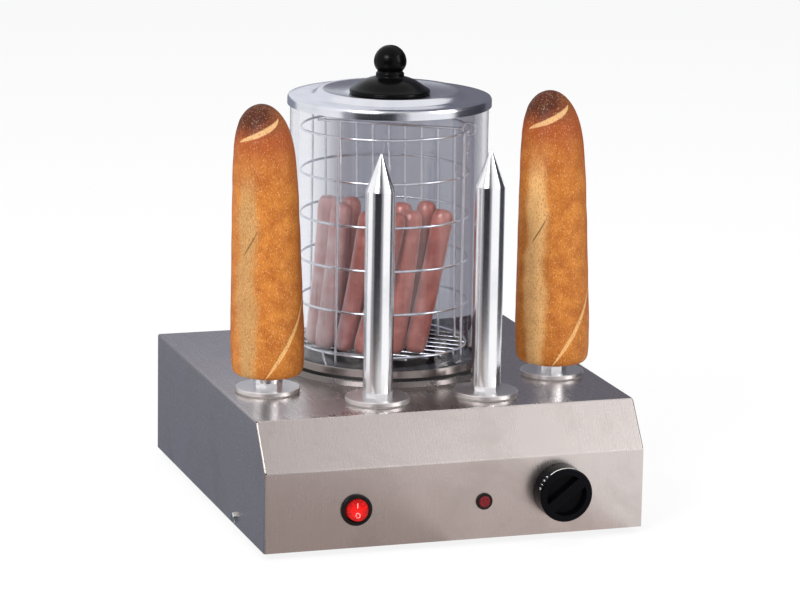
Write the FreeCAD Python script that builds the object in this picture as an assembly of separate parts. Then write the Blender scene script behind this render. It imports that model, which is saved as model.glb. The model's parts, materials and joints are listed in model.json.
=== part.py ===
"""Counter-top hot dog steamer: glass cylinder, wire basket, lid and four heated bun spikes.

Millimetres, +Z up, front face towards -Y. The origin is on the surface that the feet stand on,
under the middle of the whole outline.
"""
import FreeCAD, Part
import math
import os

V = FreeCAD.Vector
UP = V(0, 0, 1)
BACK = V(0, 1, 0)
RIGHT = V(1, 0, 0)

# ---- case: one folded stainless sheet ----
CASE_W = 290.0
CASE_D = 310.0
CASE_H = 92.0
FACE_H = 59.0            # height of the upright front face
SLOPE_RUN = 24.5         # how far back the sloped strip runs
SHEET = 1.0
FOLD_R = 2.0             # outer radius of the two long folds
EDGE_R = 1.5             # outer radius of the side folds
SEAM = 0.3               # open joint between the front flange and each side
NOTCH_R = 0.9            # bend relief at each end of a fold
FIT = 0.2                # clearance of a panel inside the case
FLANGE = 12.0            # height of the turned edges of the bottom and back panels
CUT = 5.0                # how far a cutting tool reaches past the sheet it cuts

# ---- feet ----
FOOT_H = 5.0
FOOT_R = 11.0
FOOT_INSET_X = 36.0
FOOT_INSET_Y = 42.0
FOOT_RECESS_R = 5.0
FOOT_RECESS_H = 2.6

# ---- screws, nuts and studs: outer radius of thread, head radius and head height ----
M3, M4, M5 = 1.5, 2.0, 2.5
HEAD_R = 2.0             # pan head radius over thread radius
HEAD_H = 1.3             # pan head height over thread radius
NUT_R = 1.9              # nut corner radius over thread radius
NUT_H = 1.6              # nut height over thread radius
HOLE_FIT = 0.2           # clearance hole, on the radius
SIDE_SCREW_Y = 79.0      # behind the front face
SIDE_SCREW_Z = 6.0       # above the lower edge of the case
SIDE_SCREW_L = 7.0
BACK_SCREW_L = 6.0
FOOT_SCREW_L = 8.0

# ---- pan, glass and seals ----
GLASS_R = 75.0
GLASS_WALL = 4.0
GLASS_H = 198.3
GLASS_Y = 174.5          # axis behind the front face
SEAT_R = 79.0            # raised round seat of the deck under the pan
SEAT_RISE = 4.0
SEAT_FOLD = 2.0          # how far the wall of the seat spreads to its foot
PAN_SHEET = 1.5
PAN_SEAL_H = 2.3
PAN_SEAL_W = 9.0
PAN_LIP_GAP = 0.75       # glass to turned-up lip
PAN_LIP_H = 4.3          # lip above the rim plate
PAN_LIP_T = 1.2
WELL_R = 46.0
WELL_DEPTH = 38.0
WELL_GAP = 1.5           # well to the hole in the deck
GLASS_SEAL_H = 0.8
GLASS_SEAL_IN = 0.3      # seal set in from both faces of the glass

# ---- pan heater and its clamp ----
HEATER_IN_R = 14.0
HEATER_OUT_R = 37.0
HEATER_T = 8.0
CLAMP_T = 1.5
CLAMP_IN_R = 7.0
STUD_PITCH_R = 41.5
STUD_LENGTH = 17.0
STUDS = 3
CUTOUT_GAP = 1.0
CUTOUT_TAIL = 5.0
POST_R = 3.0
POST_H = 9.0
POST_PITCH_R = 26.0

# ---- basket ----
WIRE_R = 1.0
HOOP_R = 63.8
HOOPS = 6
HOOP_PITCH = 33.02
BASKET_X = -2.6          # middle of the basket from the axis of the glass
BASKET_Y = 1.5
BASKET_CLEAR = 0.3       # gap under the basket feet
FOOT_LOOP_H = 11.1       # lowest hoop above the pan rim
FOOT_LOOP_W = 12.0       # width of a foot
FOOT_LOOP_FLAT = 0.75    # share of the foot that lies flat
LEG_ANGLES = (221.4, 315.0, 131.8)
LEG_OVER = 5.0           # end of the last leg over the top hoop
GRID_ANGLE = 51.5        # direction from the middle of the basket to the divider
GRID_OFFSET = 15.0       # middle of the basket to the divider
GRID_PITCH = 13.3
GRID_SIDE = 4            # upright wires on each side of the middle one
GRID_SHIFT = -3.2        # middle upright wire along the divider
FLOOR_PITCH = 12.6
WELD = 0.04              # gap left at a weld so that two wires stay two solids
LOOP_R = 4.6

# ---- sausages ----
SAUSAGE_R = 8.0
SAUSAGE_L = 115.0
SAUSAGE_LIFT = 0.5
SAUSAGE_TURN = -18.0     # direction of "across" in the list below
SAUSAGES = (             # across and ahead of the basket's middle: at the foot, then at the top
    (-49.4, 18.6, -42.0, 14.0),
    (-42.0, 33.5, -32.0, 30.0),
    (-30.0, 18.0, -25.0, 12.0),
    (-27.4, 43.6, -11.0, 46.0),
    (-13.0, 52.0, 9.0, 48.5),
    (9.0, 50.0, 21.0, 37.2),
    (18.0, 28.0, 32.0, 19.3),
    (25.0, 45.0, 44.0, 30.0),
    (0.0, 25.0, 14.0, 22.0),
    (-14.0, 14.0, -6.0, 8.0),
)

# ---- lid and its knob ----
LID_R = 77.2
LID_T = 0.8
LID_SKIRT = 7.0
LID_GAP = 0.3            # lid over the top of the glass
LID_FLAT_IN = 58.0
LID_CROWN_R = 53.0
LID_CROWN_H = 4.6
LID_SEAT_R = 33.0
LID_SEAT_DROP = 3.3      # seat of the knob below the crown
KNOB_SAUCER_R = 30.7
KNOB_RIM_H = 3.5
KNOB_DOME_H = 12.5
KNOB_COLLAR_R = 11.0
KNOB_BALL_R = 12.5
KNOB_BALL_H = 24.0       # centre of the ball over the seat
KNOB_SCREW_L = 16.0
WASHER_T = 1.0
WASHER_R = 6.0

# ---- bun spikes ----
SPIKE_R = 11.0
SPIKE_SHOULDER = 157.0   # top of the straight part above the deck
SPIKE_CONE = 27.2
SPIKE_TIP_R = 0.8
NECK_H = 4.0
NECK_FLAT = 10.2         # centre to flat of the octagonal neck
OUTER_INSET = 33.0       # in from the side of the case
OUTER_Y = 110.0
INNER_X = 42.0
INNER_Y = 61.5
FLANGE_DISC_R = 24.0
FLANGE_DISC_T = 3.0
SPIKE_SEAL_T = 1.0
STUB_R = 8.0
STUB_L = 19.0
SPIKE_WASHER_R = 14.0
SPIKE_WASHER_T = 1.5
SPIKE_NUT_R = 13.8
SPIKE_NUT_H = 8.0
CARTRIDGE_R = 4.75
CARTRIDGE_GAP = 0.1
CARTRIDGE_TOP = 140.0    # end of the bore above the deck
CARTRIDGE_CAP_R = 6.0
CARTRIDGE_CAP_H = 7.0

# ---- buns ----
BUN_H = 202.5
BUN_BASE_R = 27.5
BUN_TOP_R = 23.0
BUN_FIT = 0.3
BUNS = {                 # size of each bun against the sizes above, and its foot above the deck
    "left": (1.0, 13.0),
    "right": (1.025, 10.5),
}

# ---- front controls, places from the middle of the case and over its lower edge ----
SWITCH_X = -76.3
SWITCH_Z = 28.4
SWITCH_BEZEL_R = 11.7
SWITCH_BEZEL_T = 2.4
SWITCH_BARREL_R = 10.0
SWITCH_BARREL_L = 20.0
ROCKER_R = 8.2
ROCKER_GAP = 0.7
ROCKER_TILT = 7.0
ROCKER_PROUD = 1.8
ROCKER_DEPTH = 7.0
ROCKER_PIN_R = 1.2
ROCKER_PIN_DEPTH = 3.4
ROCKER_PIN_END = 0.3     # pin end to the outside of the barrel
LAMP_X = 21.0
LAMP_Z = 28.0
LAMP_RING_R = 6.2
LAMP_RING_T = 1.6
LAMP_BARREL_R = 5.0
LAMP_BARREL_L = 22.0
LAMP_LENS_R = 4.3
LAMP_LENS_RISE = 1.0
LAMP_NUT_R = 7.5
LAMP_NUT_T = 3.0
DIAL_X = 79.2
DIAL_Z = 32.4
DIAL_R = 20.1
DIAL_OUT = 16.0          # front of the knob to the front face
DIAL_GAP = 1.0           # back of the knob to the front face
DIAL_RIM = 4.8           # width of the front rim
DIAL_WALL = 2.2          # floor of the recess, and the skirt behind it
DIAL_EDGE = 1.4          # rounding of the front edge
DIAL_RECESS = 5.0
DIAL_BAR_W = 8.0
DIAL_BAR_ANGLE = 38.0    # of the grip bar over the horizontal
DIAL_BOSS_R = 6.5
SHAFT_R = 3.0
SHAFT_FLAT = 1.0         # depth of the flat on the shaft
SHAFT_GRIP = 5.4         # length of shaft in the knob
SHAFT_FIT = 0.05
BUSH_R = 5.0
THERMO_W = 40.0
THERMO_H = 34.0
THERMO_D = 26.0
THERMO_PLATE_T = 1.5
THERMO_SCREWS = 22.0
THERMO_SCREW_L = 6.0
BULB_R = 3.0
BULB_L = 70.0
CAPILLARY_R = 0.8

# ---- mains entry ----
GLAND_INSET = 50.0       # in from the right side of the case
GLAND_Z = 30.0
GLAND_BORE_R = 4.5
GLAND_THREAD_R = 10.0
GLAND_OUT = 22.0
GLAND_HEX_R = 14.0
GLAND_HEX_T = 8.0
GLAND_CAP_R = 12.0
GLAND_THREAD_L = 9.0
GLAND_NUT_T = 4.5
BACK_SCREW_INSET = 9.0
BLOCK_INSET = 85.0       # in from the right side of the case
BLOCK_AHEAD = 36.0       # ahead of the rear of the case
BLOCK_W = 36.0
BLOCK_D = 20.0
BLOCK_H = 16.0
BLOCK_WAYS = 3
BLOCK_SCREWS = 28.0
EARTH_GAP = 40.0         # block to earth stud
EARTH_L = 16.0
VENT_R = 2.5
VENT_PITCH = 12.0
VENT_COUNT = 6

# ---- places worked out from the sizes ----
FRONT = (DIAL_OUT - CASE_D - GLAND_OUT) / 2
REAR = FRONT + CASE_D
BASE = FOOT_H
DECK = BASE + CASE_H
HALF_IN = CASE_W / 2 - SHEET - FIT
AXIS_Y = FRONT + GLASS_Y
SEAT = DECK + SEAT_RISE
RIM = SEAT + PAN_SEAL_H + PAN_SHEET
LIP_IN = GLASS_R + PAN_LIP_GAP
LIP_OUT = LIP_IN + PAN_LIP_T
GLASS_BOTTOM = RIM + GLASS_SEAL_H
GLASS_TOP = GLASS_BOTTOM + GLASS_H
WELL_OUT = WELL_R + PAN_SHEET
WELL_FLOOR = RIM - WELL_DEPTH
WELL_UNDER = WELL_FLOOR - PAN_SHEET
HEATER_UNDER = WELL_UNDER - HEATER_T
CLAMP_UNDER = HEATER_UNDER - CLAMP_T
LOWEST_HOOP = RIM + FOOT_LOOP_H
TOP_HOOP = LOWEST_HOOP + (HOOPS - 1) * HOOP_PITCH
LAY = 2 * WIRE_R + WELD
LEG_R = HOOP_R + LAY
FLOOR_WIRES = LOWEST_HOOP - LAY
LID_TOP = GLASS_TOP + LID_GAP + LID_T
KNOB_SEAT = LID_TOP + LID_CROWN_H - LID_SEAT_DROP
GLAND_X = CASE_W / 2 - GLAND_INSET
BLOCK_X = CASE_W / 2 - BLOCK_INSET
BLOCK_Y = REAR - BLOCK_AHEAD
EARTH_X = BLOCK_X - EARTH_GAP
OUTER_X = CASE_W / 2 - OUTER_INSET
SPIKE_FOOT = DECK + SPIKE_SEAL_T + FLANGE_DISC_T
SPIKE_TIP = DECK + SPIKE_SHOULDER + SPIKE_CONE
SPIKES = {
    "left_outer": (-OUTER_X, FRONT + OUTER_Y),
    "left_inner": (-INNER_X, FRONT + INNER_Y),
    "right_inner": (INNER_X, FRONT + INNER_Y),
    "right_outer": (OUTER_X, FRONT + OUTER_Y),
}


# ---- shape helpers ----
def block(x0, x1, y0, y1, z0, z1):
    return Part.makeBox(x1 - x0, y1 - y0, z1 - z0, V(x0, y0, z0))


def disc(x, y, z, radius, height):
    return Part.makeCylinder(radius, height, V(x, y, z))


def ring(x, y, z, inner, outer, height):
    return disc(x, y, z, outer, height).cut(disc(x, y, z - 1, inner, height + 2))


def rod_y(x, y, z, radius, length):
    return Part.makeCylinder(radius, length, V(x, y, z), BACK)


def rod(start, end, radius):
    return Part.makeCylinder(radius, (end - start).Length, start, end - start)


def prism(points, travel):
    return Part.Face(Part.makePolygon(points + points[:1])).extrude(travel)


def hexagon(centre, radius, travel):
    """Hexagonal bar with the given corner radius, along travel."""
    axis = V(travel).normalize()
    side = axis.cross(V(0.0, 0.0, 1.0) if abs(axis.z) < 0.5 else RIGHT).normalize()
    up = axis.cross(side)
    points = [centre + side * radius * math.cos(math.radians(60 * i))
              + up * radius * math.sin(math.radians(60 * i)) for i in range(6)]
    return prism(points, travel)


def turned(profile, x, y):
    """Solid of revolution about the vertical through (x, y) from (radius, height) points."""
    points = [V(x + r, y, z) for r, z in profile]
    face = Part.Face(Part.makePolygon(points + points[:1]))
    return face.revolve(V(x, y, 0), UP, 360)


def bend_edges(points, radii, closed):
    """Straight edges through the points, with a tangent arc of the given radius at each."""
    count = len(points)
    starts, ends, arcs = {}, {}, {}
    for i in range(count):
        inner = closed or 0 < i < count - 1
        if not inner or radii[i] == 0:
            starts[i] = ends[i] = points[i]
            continue
        to_last = (points[i - 1] - points[i]).normalize()
        to_next = (points[(i + 1) % count] - points[i]).normalize()
        half = to_last.getAngle(to_next) / 2
        trim = radii[i] / math.tan(half)
        middle = points[i] + (to_last + to_next).normalize() * (radii[i] / math.sin(half) - radii[i])
        starts[i] = points[i] + to_last * trim
        ends[i] = points[i] + to_next * trim
        arcs[i] = Part.Arc(starts[i], middle, ends[i]).toShape()
    edges = []
    for i in range(count):
        if i in arcs:
            edges.append(arcs[i])
        if i < count - 1 or closed:
            edges.append(Part.LineSegment(ends[i], starts[(i + 1) % count]).toShape())
    return edges


def folded(points, radii, travel):
    """Prism over a closed outline with rounded corners."""
    return Part.Face(Part.Wire(bend_edges(points, radii, True))).extrude(travel)


def wire_along(points, bend, radius):
    """Round wire bent at each inner point."""
    path = Part.Wire(bend_edges(points, [bend] * len(points), False))
    start = Part.Circle(points[0], points[1] - points[0], radius)
    return path.makePipeShell([Part.Wire(start.toShape())], True, False, 1)


def screw(head_at, direction, thread, length):
    """Pan head screw: the head stands out against direction, and the thread runs along it."""
    along = V(direction).normalize()
    head_r, head_h = thread * HEAD_R, thread * HEAD_H
    head = Part.makeCylinder(head_r, head_h, head_at - along * head_h, along)
    rim = [e for e in head.Edges if abs(e.CenterOfMass.distanceToPoint(head_at) - head_h) < 0.001]
    head = head.makeFillet(head_h * 0.45, rim)
    slot = Part.makeBox(head_r * 2.4, thread * 0.4, head_h, V(-head_r * 1.2, -thread * 0.2, -head_h))
    slot.Placement = FreeCAD.Placement(head_at - along * head_h * 0.55,
                                       FreeCAD.Rotation(UP, along))
    return head.cut(slot).fuse(Part.makeCylinder(thread, length, head_at, along)).removeSplitter()


def nut(centre, direction, thread):
    """Hexagon nut from centre along direction, bored to its thread."""
    travel = V(direction).normalize() * thread * NUT_H
    bore = Part.makeCylinder(thread, 3 * travel.Length, centre - travel, travel)
    return hexagon(centre, thread * NUT_R, travel).cut(bore)


def group(shapes):
    return Part.makeCompound(shapes)


# ---- case ----
def case_profile(inset, x, below):
    """Side outline of the case, moved in by inset, at the given x."""
    rise = CASE_H - FACE_H
    lean = math.hypot(SLOPE_RUN, rise)
    fold_z = FACE_H - inset * (lean - rise) / SLOPE_RUN
    slope_y = SLOPE_RUN + inset * (lean - SLOPE_RUN) / rise
    y = FRONT
    return [
        V(x, y + inset, BASE - below),
        V(x, y + inset, BASE + fold_z),
        V(x, y + slope_y, DECK - inset),
        V(x, REAR + below, DECK - inset),
        V(x, REAR + below, BASE - below),
    ]


def case_body(inset, fold, edge, below):
    half = CASE_W / 2 - inset
    outline = case_profile(inset, -half, below)
    body = folded(outline, [0, fold, fold, 0, 0], V(2 * half, 0, 0))
    chain = []
    for e in body.Edges:
        spot = e.CenterOfMass
        on_side = abs(abs(spot.x) - half) < 0.01
        low = abs(spot.z - (BASE - below)) < 0.01
        behind = abs(spot.y - (REAR + below)) < 0.01
        if on_side and not low and not behind:
            chain.append(e)
    return body.makeFillet(edge, chain)


def front_hole(x, z, radius):
    return rod_y(x, FRONT - 2, BASE + z, radius, 2 * SHEET + 4)


def seat_form(radius, low, top):
    """Solid of the raised seat: sloped wall and a soft upper corner."""
    soft = SEAT_RISE / 5
    return turned([(0, low), (radius + SEAT_FOLD, low), (radius, top - soft), (radius - soft, top),
                   (0, top)], 0, AXIS_Y)


def case_shell():
    shell = case_body(0, FOLD_R, EDGE_R, 0)
    shell = shell.cut(case_body(SHEET, FOLD_R - SHEET, EDGE_R - SHEET, 5))
    shell = shell.fuse(seat_form(SEAT_R, DECK - SHEET / 2, SEAT))
    tools = [seat_form(SEAT_R - SHEET, DECK - 2 * SHEET, SEAT - SHEET)]
    tools.append(disc(0, AXIS_Y, DECK - CUT, WELL_OUT + WELL_GAP, 2 * CUT + SEAT_RISE))
    for x, y in SPIKES.values():
        tools.append(disc(x, y, DECK - CUT, STUB_R + HOLE_FIT, 2 * CUT))
    tools.append(front_hole(SWITCH_X, SWITCH_Z, SWITCH_BARREL_R + HOLE_FIT))
    tools.append(front_hole(LAMP_X, LAMP_Z, LAMP_BARREL_R + HOLE_FIT))
    tools.append(front_hole(DIAL_X, DIAL_Z, BUSH_R + HOLE_FIT))
    for side in (-1, 1):
        tools.append(front_hole(DIAL_X + side * THERMO_SCREWS / 2, DIAL_Z, M3 + HOLE_FIT))
        tools.append(Part.makeCylinder(M4 + HOLE_FIT, 8, V(side * CASE_W / 2 - 4, FRONT + SIDE_SCREW_Y,
                                                           BASE + SIDE_SCREW_Z), RIGHT))
        tools += corner_seam(side)
    return shell.cut(tools)


def corner_seam(side):
    """Open joint behind the front and sloped flanges, ended by round bend reliefs."""
    edge = side * CASE_W / 2
    lean = math.hypot(SLOPE_RUN, CASE_H - FACE_H)
    back = V(0, (CASE_H - FACE_H) / lean, -SLOPE_RUN / lean)
    foot = V(edge - side * SHEET * 1.5, FRONT + SHEET, BASE - 1)
    fold = V(foot.x, FRONT + SHEET, BASE + FACE_H)
    top = V(foot.x, FRONT + SLOPE_RUN, DECK) + back * SHEET
    out = V(side * SHEET * 3, 0, 0)
    upright = prism([foot, fold, fold + V(0, SEAM, 0), foot + V(0, SEAM, 0)], out)
    sloped = prism([fold, top, top + back * SEAM, fold + back * SEAM], out)
    tools = [upright, sloped]
    for y, z in ((FRONT + SHEET, BASE + FACE_H), (FRONT + SLOPE_RUN + SHEET * 0.5, DECK - SHEET)):
        tools.append(Part.makeCylinder(NOTCH_R, SHEET * 3, V(edge - SHEET * 1.5, y, z), RIGHT))
    return tools


def feet_places():
    x = CASE_W / 2 - FOOT_INSET_X
    return {
        "front_left": V(-x, FRONT + FOOT_INSET_Y, 0),
        "front_right": V(x, FRONT + FOOT_INSET_Y, 0),
        "rear_left": V(-x, REAR - FOOT_INSET_Y, 0),
        "rear_right": V(x, REAR - FOOT_INSET_Y, 0),
    }


def bottom_plate():
    """Tray with its edges turned up at the front and sides, screwed to the sides of the case."""
    front = FRONT + SHEET + FIT
    tray = block(-HALF_IN, HALF_IN, front, REAR, BASE, BASE + FLANGE)
    hollow = block(-HALF_IN + SHEET, HALF_IN - SHEET, front + SHEET, REAR + 1, BASE + SHEET, DECK)
    rear_gap = block(-CASE_W, CASE_W, REAR - FLANGE - 2, REAR + 1, BASE + SHEET, DECK)
    tools = [hollow, rear_gap]
    for spot in feet_places().values():
        tools.append(disc(spot.x, spot.y, BASE - 1, M4 + HOLE_FIT, SHEET + 2))
    for spot in back_screw_places():
        tools.append(disc(spot.x, spot.y, BASE - 1, M4 + HOLE_FIT, SHEET + 2))
    for side in (-1, 1):
        tools.append(Part.makeCylinder(M4, 8, V(side * HALF_IN - 4, FRONT + SIDE_SCREW_Y,
                                                BASE + SIDE_SCREW_Z), RIGHT))
        tools.append(disc(BLOCK_X + side * BLOCK_SCREWS / 2, BLOCK_Y, BASE - 1, M3, 4))
    tools.append(disc(EARTH_X, BLOCK_Y, BASE - 1, M5, 4))
    for i in range(VENT_COUNT):
        x = (i - (VENT_COUNT - 1) / 2) * VENT_PITCH
        for row in range(VENT_COUNT // 2):
            tools.append(disc(x, AXIS_Y + (row - 1) * VENT_PITCH, BASE - 1, VENT_R, SHEET + 2))
    return tray.cut(tools)


def back_screw_places():
    x = HALF_IN - BACK_SCREW_INSET
    return [V(side * x, REAR - FLANGE / 2, 0) for side in (-1, 1)]


def back_panel():
    """Tray with its edges turned forward, closing the back of the case."""
    low = BASE + SHEET
    high = DECK - SHEET - FIT
    tray = block(-HALF_IN, HALF_IN, REAR - FLANGE, REAR, low, high)
    hollow = block(-HALF_IN + SHEET, HALF_IN - SHEET, REAR - FLANGE - 1, REAR - SHEET,
                   low + SHEET, high - SHEET)
    tools = [hollow, rod_y(GLAND_X, REAR - CUT, BASE + GLAND_Z, GLAND_THREAD_R + HOLE_FIT, 2 * CUT)]
    for spot in back_screw_places():
        tools.append(disc(spot.x, spot.y, low - 1, M4, SHEET + 2))
    for i in range(VENT_COUNT):
        x = -CASE_W / 4 + (i - (VENT_COUNT - 1) / 2) * VENT_PITCH
        for row in range(VENT_COUNT // 2):
            z = BASE + CASE_H / 2 + (row - 1) * VENT_PITCH
            tools.append(rod_y(x, REAR - CUT, z, VENT_R, 2 * CUT))
    return tray.cut(tools)


def side_screws():
    made = []
    for side in (-1, 1):
        spot = V(side * CASE_W / 2, FRONT + SIDE_SCREW_Y, BASE + SIDE_SCREW_Z)
        made.append(screw(spot, V(-side, 0, 0), M4, SIDE_SCREW_L))
    return group(made)


def back_screws():
    return group([screw(V(spot.x, spot.y, BASE), UP, M4, BACK_SCREW_L)
                  for spot in back_screw_places()])


def rubber_foot(spot):
    body = disc(spot.x, spot.y, 0, FOOT_R, FOOT_H)
    rim = [e for e in body.Edges if abs(e.CenterOfMass.z) < 0.01]
    body = body.makeFillet(1.2, rim)
    recess = disc(spot.x, spot.y, -1, FOOT_RECESS_R, FOOT_RECESS_H + 1)
    return body.cut([recess, disc(spot.x, spot.y, -1, M4, FOOT_H + 2)])


def foot_screws():
    made = []
    for spot in feet_places().values():
        made.append(screw(V(spot.x, spot.y, FOOT_RECESS_H), UP, M4, FOOT_SCREW_L))
        made.append(nut(V(spot.x, spot.y, BASE + SHEET), UP, M4))
    return group(made)


# ---- pan and glass ----
def pan_seal():
    return ring(0, AXIS_Y, SEAT, LIP_OUT - PAN_SEAL_W, LIP_OUT - 0.4, PAN_SEAL_H)


def water_pan():
    """Deep drawn pan: central well, flat rim and a turned-up lip round the glass."""
    lip = RIM + PAN_LIP_H
    under = RIM - PAN_SHEET
    profile = [
        (0, WELL_FLOOR), (WELL_R - 4, WELL_FLOOR), (WELL_R, WELL_FLOOR + 4), (WELL_R, RIM - 1.5),
        (WELL_R + 1.5, RIM), (LIP_IN, RIM), (LIP_IN, lip - 0.4), (LIP_IN + 0.4, lip),
        (LIP_OUT - 0.4, lip), (LIP_OUT, lip - 0.4), (LIP_OUT, under), (WELL_OUT + 1.0, under),
        (WELL_OUT, under - 1.0), (WELL_OUT, WELL_FLOOR + 3.4), (WELL_R - 3.4, WELL_UNDER),
        (0, WELL_UNDER),
    ]
    return turned(profile, 0, AXIS_Y)


def glass_seal():
    inner = GLASS_R - GLASS_WALL + GLASS_SEAL_IN
    return ring(0, AXIS_Y, RIM, inner, GLASS_R - GLASS_SEAL_IN, GLASS_SEAL_H)


def glass_cylinder():
    tube = ring(0, AXIS_Y, GLASS_BOTTOM, GLASS_R - GLASS_WALL, GLASS_R, GLASS_H)
    rims = [e for e in tube.Edges if abs(e.CenterOfMass.z - GLASS_TOP) < 0.01]
    return tube.makeFillet(0.8, rims)


# ---- pan heater ----
def stud_places():
    turn = 360 / STUDS
    return [(STUD_PITCH_R * math.cos(math.radians(90 + i * turn)),
             AXIS_Y + STUD_PITCH_R * math.sin(math.radians(90 + i * turn))) for i in range(STUDS)]


def pan_heater():
    body = ring(0, AXIS_Y, HEATER_UNDER, HEATER_IN_R, HEATER_OUT_R, HEATER_T)
    return body


def post_places():
    return [(POST_PITCH_R * math.cos(math.radians(a)), AXIS_Y + POST_PITCH_R * math.sin(math.radians(a)))
            for a in (-60, -120)]


def heater_posts():
    """Ceramic terminal posts through the clamp plate."""
    return group([disc(x, y, HEATER_UNDER - POST_H, POST_R, POST_H) for x, y in post_places()])


def heater_clamp():
    """Plate that presses the heater up against the pan."""
    plate = ring(0, AXIS_Y, CLAMP_UNDER, CLAMP_IN_R, STUD_PITCH_R + NUT_R * M4, CLAMP_T)
    tools = [disc(x, y, CLAMP_UNDER - 1, M4 + HOLE_FIT, 4) for x, y in stud_places()]
    tools += [disc(x, y, CLAMP_UNDER - 1, POST_R + HOLE_FIT, 4) for x, y in post_places()]
    return plate.cut(tools)


def heater_studs():
    made = []
    for x, y in stud_places():
        made.append(disc(x, y, WELL_UNDER - STUD_LENGTH, M4, STUD_LENGTH))
        made.append(nut(V(x, y, CLAMP_UNDER), -UP, M4))
    return group(made)


def dry_boil_cutout():
    """Snap-action cut-out held between the pan and the clamp plate."""
    body = disc(0, AXIS_Y, HEATER_UNDER, HEATER_IN_R - CUTOUT_GAP, HEATER_T)
    tail = disc(0, AXIS_Y, HEATER_UNDER - CUTOUT_TAIL, CLAMP_IN_R - CUTOUT_GAP, CUTOUT_TAIL)
    tabs = [block(x - 0.4, x + 0.4, AXIS_Y - 2, AXIS_Y + 2, HEATER_UNDER - CUTOUT_TAIL - 7,
                  HEATER_UNDER - CUTOUT_TAIL) for x in (-3, 3)]
    return body.fuse([tail] + tabs)


# ---- basket ----
def on_circle(radius, angle, z):
    a = math.radians(angle)
    return V(BASKET_X + radius * math.cos(a), AXIS_Y + BASKET_Y + radius * math.sin(a), z)


def basket_hoops():
    return group([Part.makeTorus(HOOP_R, WIRE_R, on_circle(0, 0, LOWEST_HOOP + i * HOOP_PITCH))
                  for i in range(HOOPS)])


def basket_legs():
    """Three upright wires outside the hoops, each ending in a foot that returns to the hoop."""
    made = []
    low = RIM + BASKET_CLEAR + WIRE_R
    swing = -math.degrees(FOOT_LOOP_W / LEG_R)
    for i, angle in enumerate(LEG_ANGLES):
        top = TOP_HOOP + WIRE_R
        if i == len(LEG_ANGLES) - 1:
            top += LEG_OVER
        points = [
            on_circle(LEG_R, angle, top),
            on_circle(LEG_R, angle, low),
            on_circle(LEG_R, angle + FOOT_LOOP_FLAT * swing, low),
            on_circle(LEG_R, angle + swing, LOWEST_HOOP + WIRE_R),
        ]
        made.append(wire_along(points, 1.6 * WIRE_R, WIRE_R))
    return group(made)


def grid_frame():
    """Middle of the divider, its direction and the direction out to it from the basket's middle."""
    middle = on_circle(GRID_OFFSET, GRID_ANGLE, 0)
    outward = (middle - on_circle(0, 0, 0)).normalize()
    return middle, outward.cross(UP), outward


def half_chord(radius, offset):
    return math.sqrt(radius ** 2 - offset ** 2)


def basket_divider():
    """Flat grid: its top wire lies on the top hoop at one end and loops round it at the other."""
    middle, along, outward = grid_frame()
    eye = half_chord(HOOP_R, GRID_OFFSET)
    hinge = middle + along * eye + V(0, 0, TOP_HOOP)
    low = FLOOR_WIRES + WIRE_R + LOOP_R
    made = []
    for i in range(-GRID_SIDE, GRID_SIDE + 1):
        spot = middle + along * (GRID_SHIFT + i * GRID_PITCH) + outward * LAY
        made.append(rod(spot + V(0, 0, low), spot + V(0, 0, TOP_HOOP + WIRE_R), WIRE_R))
    top = rod(hinge - along * 2 * eye, hinge - along * LOOP_R, WIRE_R)
    made.append(top.fuse(Part.makeTorus(LOOP_R, WIRE_R, hinge, outward)))
    grid = group(made)
    grid.rotate(hinge, outward, -math.degrees(math.asin(LAY / (2 * eye))))
    return grid


def basket_floor():
    """Parallel wires across the basket, welded under the lowest hoop."""
    middle, along, outward = grid_frame()
    made = []
    count = int((HOOP_R - 2 * WIRE_R) / FLOOR_PITCH)
    for i in range(-count, count + 1):
        reach = half_chord(HOOP_R, i * FLOOR_PITCH)
        spot = on_circle(0, 0, FLOOR_WIRES) + outward * i * FLOOR_PITCH
        made.append(rod(spot - along * reach, spot + along * reach, WIRE_R))
    return group(made)


def sausage_lines():
    """Centres of the round ends of each sausage."""
    low = FLOOR_WIRES + WIRE_R + SAUSAGE_LIFT + SAUSAGE_R
    turn = math.radians(SAUSAGE_TURN)
    across = V(math.cos(turn), math.sin(turn), 0)
    ahead = across.cross(UP)
    lines = []
    for foot_across, foot_ahead, top_across, top_ahead in SAUSAGES:
        foot = on_circle(0, 0, low) + across * foot_across + ahead * foot_ahead
        level = on_circle(0, 0, low) + across * top_across + ahead * top_ahead
        rise = math.sqrt((SAUSAGE_L - 2 * SAUSAGE_R) ** 2 - foot.distanceToPoint(level) ** 2)
        lines.append((foot, level + V(0, 0, rise)))
    return lines


def sausages():
    return group([rod(foot, top, SAUSAGE_R).fuse([Part.makeSphere(SAUSAGE_R, foot),
                                                  Part.makeSphere(SAUSAGE_R, top)])
                  for foot, top in sausage_lines()])


# ---- lid ----
def lid_shell():
    """Spun lid: skirt, flat ring, raised crown and a lower seat for the knob."""
    crown = LID_TOP + LID_CROWN_H
    top = [
        (0, KNOB_SEAT), (LID_SEAT_R, KNOB_SEAT), (LID_CROWN_R, crown), (LID_FLAT_IN, LID_TOP),
        (LID_R - 1.2, LID_TOP), (LID_R, LID_TOP - 1.2), (LID_R, LID_TOP - LID_SKIRT),
    ]
    under = [
        (LID_R - LID_T, LID_TOP - LID_SKIRT), (LID_R - LID_T, LID_TOP - 1.5),
        (LID_R - 1.5, LID_TOP - LID_T), (LID_FLAT_IN + 0.2, LID_TOP - LID_T),
        (LID_CROWN_R + 0.2, crown - LID_T), (LID_SEAT_R, KNOB_SEAT - LID_T), (0, KNOB_SEAT - LID_T),
    ]
    return turned(top + under, 0, AXIS_Y).cut(disc(0, AXIS_Y, KNOB_SEAT - 3, M5 + HOLE_FIT, 6))


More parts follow.
